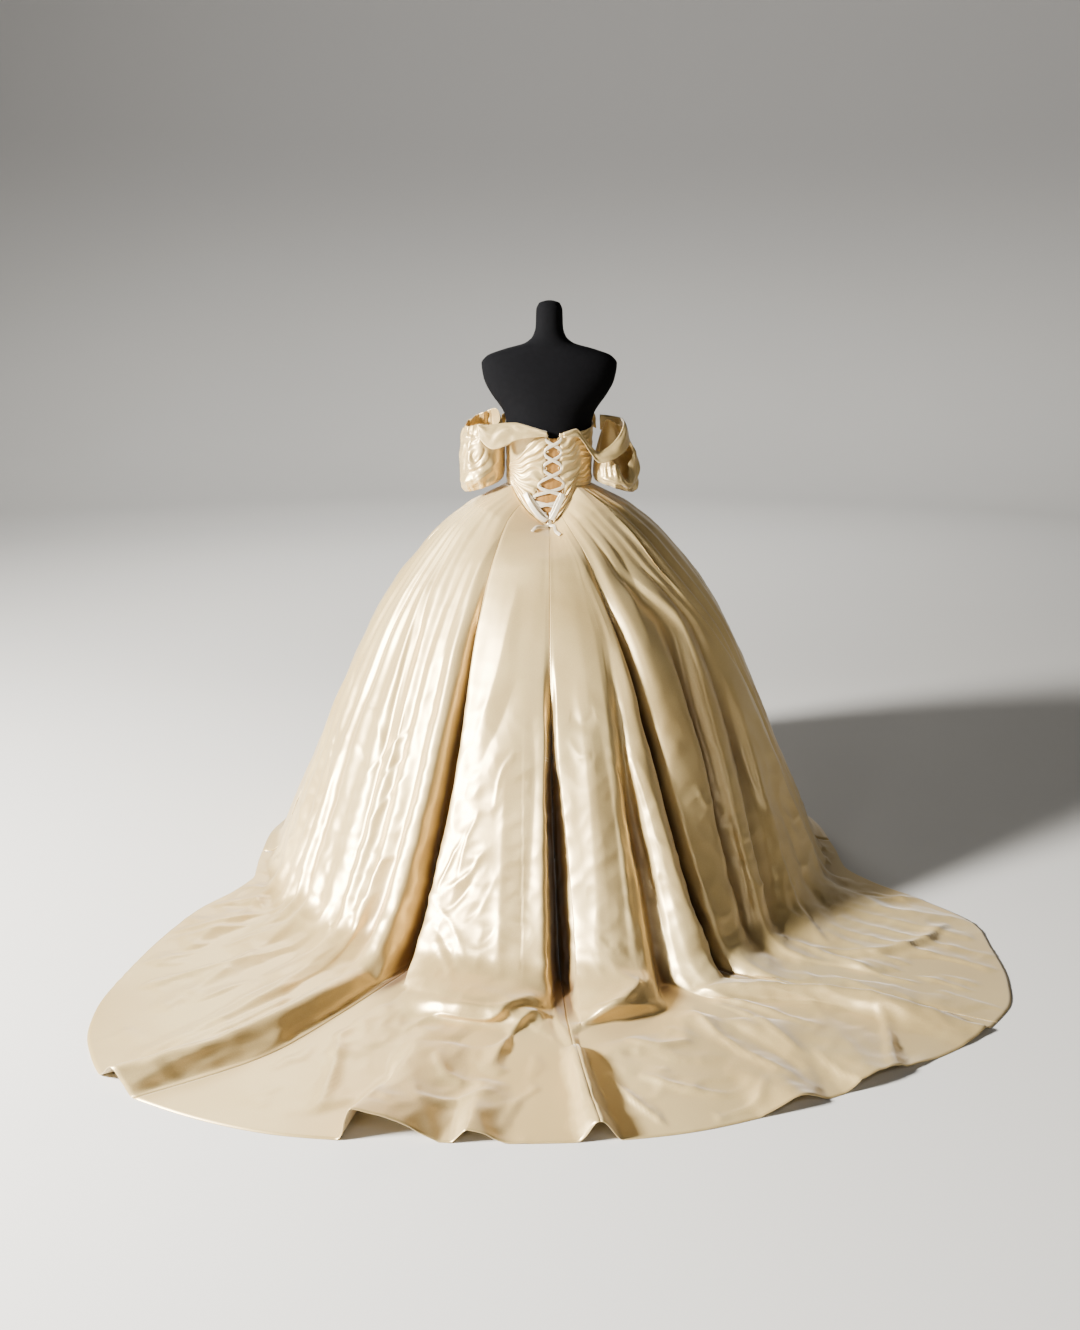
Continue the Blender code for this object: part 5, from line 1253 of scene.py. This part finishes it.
def make_tack(points, where, rows):
    """A short bar tack of thread across the top of the opening pleat at the centre seam."""
    i, j = nearest(where, rows, *TACK)
    raised = points + normals_of(points) * 1.0 * MM
    paths = [raised[i + k, j - 3:j + 4] for k in (-1, 0)]
    tubes("centre_tack", paths, TACK_RADIUS, thread_material(), "ivory_ribbon", 6)


def lift_cloth(points, normals, height):
    """The cloth moved along its normals by a height, and kept above the floor."""
    points = points + normals * height[..., None]
    points[..., 2] = np.maximum(points[..., 2], SATIN)
    return points


def make_skirt(satin):
    """The five gores: the folded bell and its train, creased, parted at the seams."""
    rows = row_places(np.linspace(0.0, len(FOLDS) - 1.0, 24), SKIRT_ROW_COUNT)
    points, columns, seams = skirt_block(GORES[:4], rows)
    where = fold_places(columns, rows)[0]
    round_foot(points, where, rows)
    normals = normals_of(points)
    height = crease_all(points, normals, where, rows)
    down = rows[:, None] + 0.0 * where
    swell, seed, size = BACK_SWELL
    height += swell * ripple(points, seed, size) * ramp(down, WAIST_FADE)
    handled = np.clip((down - 5.0) / 4.0, 0.15, 1.0)
    for dent, seed, size in BACK_DENTS:
        height -= dent * np.abs(ripple(points, seed, size)) * handled
    points = lift_cloth(points, normals, height)
    make_tack(points, where, rows)
    # Painted shade: how deep each point lies in a fold, for the satin's darker gold there
    deep = painted_fold_shade(points, rows)
    for k, (gore, _, _) in enumerate(GORES[:4]):
        part = slice(seams[k], seams[k + 1] + 1)
        finish_gore(gore, points[:, part].copy(), deep[:, part], satin)

    rows = row_places(np.linspace(len(FOLDS), len(FOLDS) + FRONT_PLEATS, 12), FRONT_ROW_COUNT)
    points = skirt_block(GORES[4:], rows)[0]
    fade = ramp(rows[:, None], WAIST_FADE)
    height = sum(swell * ripple(points, seed, size) * fade for swell, seed, size in FRONT_SWELLS)
    points = lift_cloth(points, normals_of(points), height)
    finish_gore("skirt_front", points, painted_fold_shade(points, rows), satin)


def length_of(path):
    """Length of a path of points."""
    return np.linalg.norm(np.diff(path, axis=0), axis=-1).sum()


def finish_gore(gore, points, deep, satin):
    """Draws a gore back from its seams by half the seam gap and sinks its seam edges."""
    normals = normals_of(points)
    for edge, beside in ((0, 1), (-1, -2)):
        step = unit(points[:, beside] - points[:, edge])
        points[:, edge] += step * (SEAM_GAP / 2.0) - normals[:, edge] * 0.6 * MM
    piece = surface(gore, points, SATIN, satin, outward=False)
    # The painted fold shade goes onto the gore as a point attribute
    shade = piece.data.attributes.new("painted_fold_shade", "FLOAT", "POINT")
    shade.data.foreach_set("value", deep.ravel())
    stand_for(piece, "champagne_satin", gore)
    flat = (length_of(points[-1]), length_of(points[:, points.shape[1] // 2]))
    lay_cut(points, flat, 1.0)


def panel_plan(side, across_count, up_count):
    """A back panel's places (azimuth, height) from the laced opening to the side back seam."""
    up = np.linspace(0.0, 1.0, up_count)
    height = V_TIP_HEIGHT + (bodice_top(0.0) - V_TIP_HEIGHT) * up
    edge = np.stack([azimuth_of(opening_edge(side, height), height), height], axis=-1)
    seam = side * (SIDE_BACK_SEAM - SEAM_TURN)
    corner = -V_END_LEFT if side < 0 else V_END_RIGHT
    share = abs(corner - edge[0, 0]) / abs(seam - edge[0, 0])
    low = np.interp(np.linspace(0.0, 1.0, across_count), [0.0, share, 1.0],
                    [edge[0, 0], corner, seam])
    across = (low - low[0]) / (low[-1] - low[0])
    bottom = np.stack([low, waist_point(low)[1]], axis=-1)
    high = edge[-1, 0] + (seam - edge[-1, 0]) * across
    top = np.stack([high, bodice_top(high)], axis=-1)
    rise = bottom[-1, 1] + (top[-1, 1] - bottom[-1, 1]) * up
    end = np.stack([np.full(len(up), seam), rise], axis=-1)
    edge[0] = bottom[0]
    edge[-1] = top[0]
    plan = patch(bottom, top, edge, end, across, up)
    plan[0, :, 1] += WAIST_SEAM_GAP / 2.0
    return plan, across[None, :], up[:, None], edge, seam


def make_back_panel(name, side, satin):
    """A ruched back panel.

    On the left its folds run from the opening's edge and meet at the waist of the side seam,
    with a plain corner above them.  On the right they lie nearly level.
    """
    plan, across, up, edge, seam = panel_plan(side, *BACK_GRID)
    from_opening = np.radians(np.abs(plan[..., 0] - edge[:, :1])) * WAIST_RADIUS
    from_seam = np.radians(np.abs(plan[..., 0] - seam)) * WAIST_RADIUS
    flat_points = form_ring(plan[..., 0], plan[..., 1], BODICE_OFFSET)
    drift = 0.05 * ripple(flat_points, 11 if side < 0 else 12, 0.09)
    if side < 0:
        room = np.maximum(1.04 - 0.93 * across ** 1.25, 0.07)
        fan = (up - 0.10 * across) / room
        inside = ramp(1.02 - fan, 0.10)
        strength = inside * (0.55 + 0.45 * np.sqrt(room))
    else:
        fan = up + 0.05 * np.sin(3.0 * across) - 0.05 * across
        strength = 1.0 - 0.35 * bump((across - 0.45) / 0.3)
    turns = RUCHE_COUNT * (fan + drift)
    fold = (0.5 - 0.5 * np.cos(2.0 * math.pi * turns)) ** 1.4
    small = 0.22 * (0.5 - 0.5 * np.cos(2.0 * math.pi * (2.3 * turns + 3.0 * across)))
    fade = ramp(from_opening, 0.006) * ramp(from_seam - 0.001, 0.02)
    fade = fade * ramp(up, 0.04) * ramp(1.0 - up, 0.05)
    lift = RUCHE_LIFT * (fold + small) * strength * fade
    points = form_ring(plan[..., 0], plan[..., 1], BODICE_OFFSET + lift)
    piece = surface(name, points, BODICE_WALL, satin, outward=side > 0)
    stand_for(piece, "champagne_satin", name)
    lay_cut(points, BACK_FLAT, RUCHED_FULLNESS)


def make_bodice_strip(name, first, last, columns, satin):
    """A plain bodice panel between two azimuths, with the faint drags of a fitted bodice."""
    azimuth = np.linspace(first + SEAM_TURN, last - SEAM_TURN, columns)
    up = np.linspace(0.0, 1.0, 30)[:, None]
    low = waist_point(azimuth)[1] + WAIST_SEAM_GAP / 2.0
    height = low + (bodice_top(azimuth) - low) * up
    flat_points = form_ring(azimuth, height, BODICE_OFFSET)
    edge = np.minimum(azimuth - azimuth[0], azimuth[-1] - azimuth)
    fade = ramp(edge, 6.0) * ramp(up, 0.1) * ramp(1.0 - up, 0.1)
    lift = 0.8 * MM * (1.0 + ripple(flat_points * (0.5, 0.5, 2.0), 21, 0.05)) * fade
    points = form_ring(azimuth, height, BODICE_OFFSET + lift)
    piece = surface(name, points, BODICE_WALL, satin)
    stand_for(piece, "champagne_satin", name)
    flat = (length_of(points[-1]), STRIP_LENGTH)
    lay_cut(points, flat, 1.0)


def make_back_inset(gold):
    """The golden panel behind the lacing, with soft upright drags."""
    across = np.linspace(-1.0, 1.0, 36)
    up = np.linspace(0.0, 1.0, 60)
    height = INSET_FOOT + (INSET_TOP - INSET_FOOT) * up
    x = read(INSET_HALF_WIDTH, up)[:, None] * across[None, :] + INSET_MIDDLE
    rows = height[:, None] + 0.0 * x
    drag = 0.35 * MM * np.cos(2.0 * math.pi * x / 0.013 + 3.0 * np.sin(14.0 * rows))
    lift = (drag + 0.35 * MM) * bump(across / 0.9)[None, :]
    points = form_ring(azimuth_of(x, rows), rows, INSET_OFFSET + INSET_WALL + lift)
    piece = surface("back_inset", points, INSET_WALL, gold)
    stand_for(piece, "gold_satin", "back_inset")
    lay_cut(points, INSET_FLAT, 1.0)


def ribbon(name, x, height, lift, spread, material, flat, cup=0.0):
    """A ribbon on the back: places, lift off the bodice and its spread to both sides.

    Its section is cupped by a little, so that its edges catch the light.
    """
    lanes = []
    for side in RIBBON_LANES:
        rise = height + side * spread[1]
        azimuth = azimuth_of(x + side * spread[0], rise)
        bow = cup * (1.0 - 4.0 * side * side)
        lanes.append(form_ring(azimuth, rise, BODICE_OFFSET + lift + bow))
    points = np.stack(lanes)
    piece = surface(name, points, RIBBON_WALL, material, offset=0.0)
    stand_for(piece, "ivory_ribbon", name)
    lay_cut(points, flat, 1.0)


def make_lacing(material):
    """Two flat ribbons that cross between the edges of the opening, one over the other."""
    place = np.linspace(0.0, LACING_TURNS[-1][0], 200)
    height = read(LACING_TURNS, place)
    left = opening_edge(-1.0, height) - LACING_MARGIN
    right = opening_edge(1.0, height) + LACING_MARGIN
    for name, first in (("lacing_ribbon_under", -1.0), ("lacing_ribbon_over", 1.0)):
        swing = first * np.tanh(TURN_FLATNESS * np.cos(math.pi * place)) / math.tanh(TURN_FLATNESS)
        x = (left + right) / 2.0 + swing * (right - left) / 2.0
        run = np.gradient(x)
        drop = np.gradient(height)
        length = np.hypot(run, drop)
        width = RIBBON_WIDTH * (1.0 - TURN_PINCH * swing ** 6) / length
        lift = RIBBON_LIFT + (CROSSING_STEP if first > 0.0 else 0.0)
        ribbon(name, x, height, lift, (-drop * width, run * width), material, LACING_FLAT,
               LACING_CUP)


def make_bow(material):
    """The bow's loops, drawn out flat along the opening's point."""
    turn = np.linspace(0.06, 0.94, 90) * 2.0 * math.pi
    out = 0.5 - 0.5 * np.cos(turn)
    for name, side, reach, rise, bend in BOW_LOOPS:
        x = side * (BOW_START + (reach - BOW_START) * out)
        height = BOW_HEIGHT + rise * out ** bend + BOW_OPENING * np.sin(turn)
        lift = BOW_LIFT - BOW_LIFT_SWING * np.sin(turn)
        run = side * (reach - BOW_START)
        climb = rise * bend * np.maximum(out, 0.12) ** (bend - 1.0)
        length = np.hypot(run, climb)
        spread = (-climb / length * BOW_WIDTH, run / length * BOW_WIDTH)
        flat = (BOW_WIDTH, 2.1 * math.hypot(run, rise))
        ribbon(name, x, height, lift, spread, material, flat)


def make_tails(material):
    """The ribbon's two short free ends: from the knot over the waist seam, down the skirt."""
    for name, path in TAILS:
        place = curve(path, 40)
        lift = (2.2 + 1.6 * np.sin(math.pi * np.linspace(0.0, 1.0, 40))) * MM
        laid = skirt_surface(place[:, :1], place[:, 1:], lift[:, None])[:, 0]
        start = form_ring(azimuth_of(TAIL_START[0], TAIL_START[1]), TAIL_START[1],
                          BODICE_OFFSET + TAIL_START[2])
        middle = np.concatenate([start[None], laid])
        relax(middle, 2)
        outward = unit(middle * (1.0, 1.0, 0.0) + (0.0, 0.0, 0.06))
        across = unit(np.cross(unit(np.gradient(middle, axis=0)), outward))
        points = np.stack([
            middle + across * side * TAIL_WIDTH + outward * TAIL_CUP * (1.0 - 4.0 * side * side)
            for side in RIBBON_LANES])
        piece = surface(name, points, RIBBON_WALL, material, offset=0.0)
        stand_for(piece, "ivory_ribbon")
        lay_cut(points, TAIL_FLAT, 1.0)


def tubes(name, paths, radius, material, slot, sides=8):
    """One mesh of several small round tubes with pinched ends, each along a path."""
    points = []
    faces = []
    turn = np.arange(sides) * 2.0 * math.pi / sides
    for path in paths:
        run = unit(np.gradient(path, axis=0))
        up = unit(np.cross(run, TUBE_UP))
        ring = (np.cos(turn)[None, :, None] * up[:, None]
                + np.sin(turn)[None, :, None] * np.cross(run, up)[:, None])
        size = np.full(len(path), radius)
        size[[0, -1]] = radius * 0.35
        start = len(points) * len(path) * sides
        points.append(path[:, None] + ring * size[:, None, None])
        faces += [[start + k for k in face] for face in tube_faces(len(path), sides)]
    return stand_for(new_object(name, np.stack(points), faces, material), slot)


def make_eyelet_loops(material):
    """Small rolled loops of satin along both edges of the laced opening."""
    turn = np.linspace(0.0, math.pi, 15)
    lift = BODICE_OFFSET + 1.0 * MM + 0.6 * MM * np.sin(turn)
    for name, side in (("eyelet_loops_left", -1.0), ("eyelet_loops_right", 1.0)):
        paths = []
        for height in np.linspace(*EYELET_HEIGHTS, EYELET_COUNT):
            x = opening_edge(side, height) + side * (EYELET_INSET - EYELET_REACH * np.sin(turn))
            z = height + EYELET_RISE * np.cos(turn)
            paths.append(form_ring(azimuth_of(x, z), z, lift))
        tubes(name, paths, EYELET_RADIUS, material, "champagne_satin")


def make_sleeve(name, side, rim, middle, narrow, satin):
    """A gathered puff sleeve, open above and below, with deep uneven gathers at both rims."""
    round_arm = np.arange(SLEEVE_COLUMNS) * 360.0 / SLEEVE_COLUMNS
    upper = read(rim, (round_arm + 90.0) % 360.0 - 90.0)
    angle = side * np.radians(round_arm)
    down = np.linspace(0.0, 1.0, SLEEVE_ROWS)[:, None]
    size = read(SLEEVE_SHAPE, down) * (1.0 - (1.0 - narrow) * bump(down / 0.6))
    away = side * np.sin(angle)
    height = upper + (SLEEVE_FOOT - SLEEVE_FOOT_TILT * away - upper) * down
    free = np.clip(0.9 + away, 0.0, 1.0)
    rims = bump(down / 0.45) + bump((1.0 - down) / 0.35) + 0.35
    rng = np.random.default_rng(31 if side < 0 else 32)
    wave = np.cos(SLEEVE_GATHERS * angle)
    fine = np.zeros(SLEEVE_COLUMNS)
    for count in SLEEVE_FINE_GATHERS:
        fine += np.cos(count * angle + rng.uniform(0.0, 6.28)) * 0.5
    wander = 0.35 * np.sin(2.0 * angle + 5.0 * down) + 0.25 * np.sin(5.0 * angle - 7.0 * down)
    drape = np.cos((SLEEVE_GATHERS - 4) * angle + 6.0 * wander + 3.0 * down)
    ends = bump(down / 0.3) + bump((1.0 - down) / 0.25)
    gathers = rims * wave + 0.75 * ends * fine + 0.9 * (1.0 - 0.5 * ends) * drape
    lift = SLEEVE_GATHER_DEPTH * gathers * free
    x = side * SLEEVE_X + (SLEEVE_HALF_WIDTH * size + lift) * np.sin(angle)
    y = middle - (SLEEVE_HALF_DEPTH * size + lift) * np.cos(angle)
    points = np.stack([x, y, height], axis=-1)
    normals = -side * normals_of(points, closed=True)
    where = turned(round_arm) + 0.0 * height
    pressed = np.zeros(height.shape)
    for width, depth, steep, path in SLEEVE_CREASES[name]:
        pressed += press(points, normals, where, down.ravel(), path, width * MM, depth * MM, steep)
    points = points + normals * pressed[..., None]
    piece = surface(name, points, SATIN, satin, closed=True, outward=side < 0.0)
    stand_for(piece, "champagne_satin", name)
    lay_cut(points, SLEEVE_FLAT, SLEEVE_FULLNESS, closed=True)


def make_band(name, rows, satin, flat):
    """A folded band: an inner leg, a rolled top and an outer leg, with drags along it."""
    place = np.linspace(0.0, len(rows) - 1.0, BAND_COLUMNS)
    azimuth, stand, top, fall, spread = smooth(np.arange(len(rows)), rows, place).T
    path = form_ring(azimuth, BAND_LEVEL, stand)
    along = unit(np.gradient(path[:, :2], axis=0))
    turn = 1.0 if rows[-1][0] > rows[0][0] else -1.0
    outward = turn * np.stack([along[:, 1], -along[:, 0]], axis=-1)
    points = []
    steps = np.linspace(0.0, 1.0, BAND_ROWS)
    for step, (reach, flare, drop) in zip(steps, curve(BAND_SECTION, BAND_ROWS)):
        leg = bump((step - 0.72) / 0.30)
        fold = 2.3 * MM * leg * np.cos(3.2 * math.pi * step + 2.2 * np.sin(0.9 * place))
        fold += 1.1 * MM * leg * np.cos(7.0 * math.pi * step + 3.0 * np.sin(1.7 * place + 1.0))
        out = (reach + flare * spread + fold)[:, None]
        level = (top - drop * fall)[:, None]
        points.append(np.concatenate([path[:, :2] + outward * out, level], axis=-1))
    points = np.stack(points)
    piece = surface(name, points, SATIN, satin, outward=turn < 0.0, offset=0.0)
    stand_for(piece, "champagne_satin", name)
    lay_cut(points, flat, BAND_FULLNESS)


def make_form(jersey):
    """The limbless form as a fine loft, from the hip to a rounded neck."""
    azimuth = np.arange(FORM_COLUMNS) * 360.0 / FORM_COLUMNS
    foot = FORM_RINGS[0][0]
    rim = FORM_RINGS[-1][0]
    levels = np.concatenate([np.linspace(foot, FORM_SHOULDER, 60),
                             np.linspace(FORM_SHOULDER + 0.003, rim, 50)])
    rings = form_ring(azimuth, levels[:, None], 0.0)
    last = rings[-1]
    middle = last.mean(axis=0)
    caps = []
    for share in (0.9, 0.7, 0.4, 0.12):
        ring = middle + (last - middle) * share
        ring[:, 2] = rim + (FORM_TOP - rim) * (1.0 - share ** 2)
        caps.append(ring)
    rings = np.concatenate([rings, np.array(caps)])
    piece = new_object("form_torso_jersey", rings, tube_faces(*rings.shape[:2]), jersey)
    stand_for(piece, "jersey", "form_torso")


def give(node, material):
    """A carried-over CAD node gets its material."""
    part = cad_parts[node]
    part.data.materials.clear()
    part.data.materials.append(material)


def make_stage():
    """A plain pale floor that sweeps up all round: a profile turned about the middle.

    The profile is a flat, a quarter round and a short upright wall.
    """
    turn = np.linspace(0.0, math.pi / 2.0, 24)
    wall = FLAT_FLOOR + SWEEP
    reach = np.concatenate([[0.5, 3.0], FLAT_FLOOR + SWEEP * np.sin(turn), [wall]])
    rise = np.concatenate([[0.0, 0.0], SWEEP - SWEEP * np.cos(turn), [WALL_TOP]]) - FLOOR_SINK
    angle = np.arange(STAGE_SIDES) * 2.0 * math.pi / STAGE_SIDES
    points = np.stack([reach[:, None] * np.cos(angle), reach[:, None] * np.sin(angle),
                       rise[:, None] + 0.0 * angle], axis=-1)
    faces = grid_faces(len(reach), STAGE_SIDES, True)[:, ::-1].tolist()
    faces.append(list(range(STAGE_SIDES)))
    new_object("floor", points, faces, floor_material())


def add_light(name, place, target, size, watts, colour):
    """A square area light that faces a target."""
    light = bpy.data.lights.new(name, "AREA")
    light.energy = watts
    light.size = size
    light.color = colour
    lamp = bpy.data.objects.new(name, light)
    lamp.location = place
    lamp.rotation_euler = (Vector(target) - Vector(place)).to_track_quat("-Z", "Y").to_euler()
    lamp.visible_camera = False
    bpy.context.scene.collection.objects.link(lamp)


def make_light():
    """Plain soft studio light: a key from the left, faint fills, and a wash on the wall."""
    for light in LIGHTS:
        add_light(*light)
    world = bpy.data.worlds.new("room")
    bpy.context.scene.world = world
    world.use_nodes = True
    set_inputs(world.node_tree, world.node_tree.nodes["Background"],
               {"Color": SKY, "Strength": SKY_STRENGTH})


def make_camera():
    """The camera at the photograph's place and angle."""
    lens = bpy.data.cameras.new("camera")
    lens.lens = CAMERA_LENS
    camera = bpy.data.objects.new("camera", lens)
    camera.location = CAMERA_PLACE
    camera.rotation_euler = (math.radians(CAMERA_PITCH), 0.0, 0.0)
    bpy.context.scene.collection.objects.link(camera)
    bpy.context.scene.camera = camera


def main():
    make_camera()
    make_light()
    make_stage()
    satin = satin_material("champagne_satin", CHAMPAGNE, CHAMPAGNE_DEEP, 0.40)
    ivory = satin_material("ivory_ribbon_satin", IVORY, IVORY_DEEP, 0.40)
    gold = satin_material("gold_satin", GOLD, GOLD_DEEP, 0.46)
    metal = metal_material()
    for node, material in (("stand_base", metal), ("stand_pole", metal),
                           ("lacing_knot", ivory), ("lacing_top_tab", ivory)):
        give(node, material)
    make_form(jersey_material())
    make_back_inset(gold)
    make_back_panel("bodice_back_left", -1.0, satin)
    make_back_panel("bodice_back_right", 1.0, satin)
    seams = (SIDE_BACK_SEAM, SIDE_FRONT_SEAM, 360.0 - SIDE_FRONT_SEAM, 360.0 - SIDE_BACK_SEAM)
    make_bodice_strip("bodice_side_right", *seams[0:2], 16, satin)
    make_bodice_strip("bodice_front", *seams[1:3], 72, satin)
    make_bodice_strip("bodice_side_left", *seams[2:4], 16, satin)
    make_lacing(ivory)
    make_bow(ivory)
    make_eyelet_loops(satin)
    make_tails(ivory)
    make_sleeve("sleeve_left", -1.0, SLEEVE_TOP_LEFT, SLEEVE_Y_LEFT, SLEEVE_RIM_LEFT, satin)
    make_sleeve("sleeve_right", 1.0, SLEEVE_TOP_RIGHT, SLEEVE_Y_RIGHT, SLEEVE_RIM_RIGHT, satin)
    make_band("shoulder_band_left", BAND_LEFT, satin, (0.22, 0.12))
    make_band("shoulder_band_right", BAND_RIGHT, satin, (0.42, 0.10))
    make_band("shoulder_band_front", BAND_FRONT, satin, (0.36, 0.10))
    make_skirt(satin)


main()
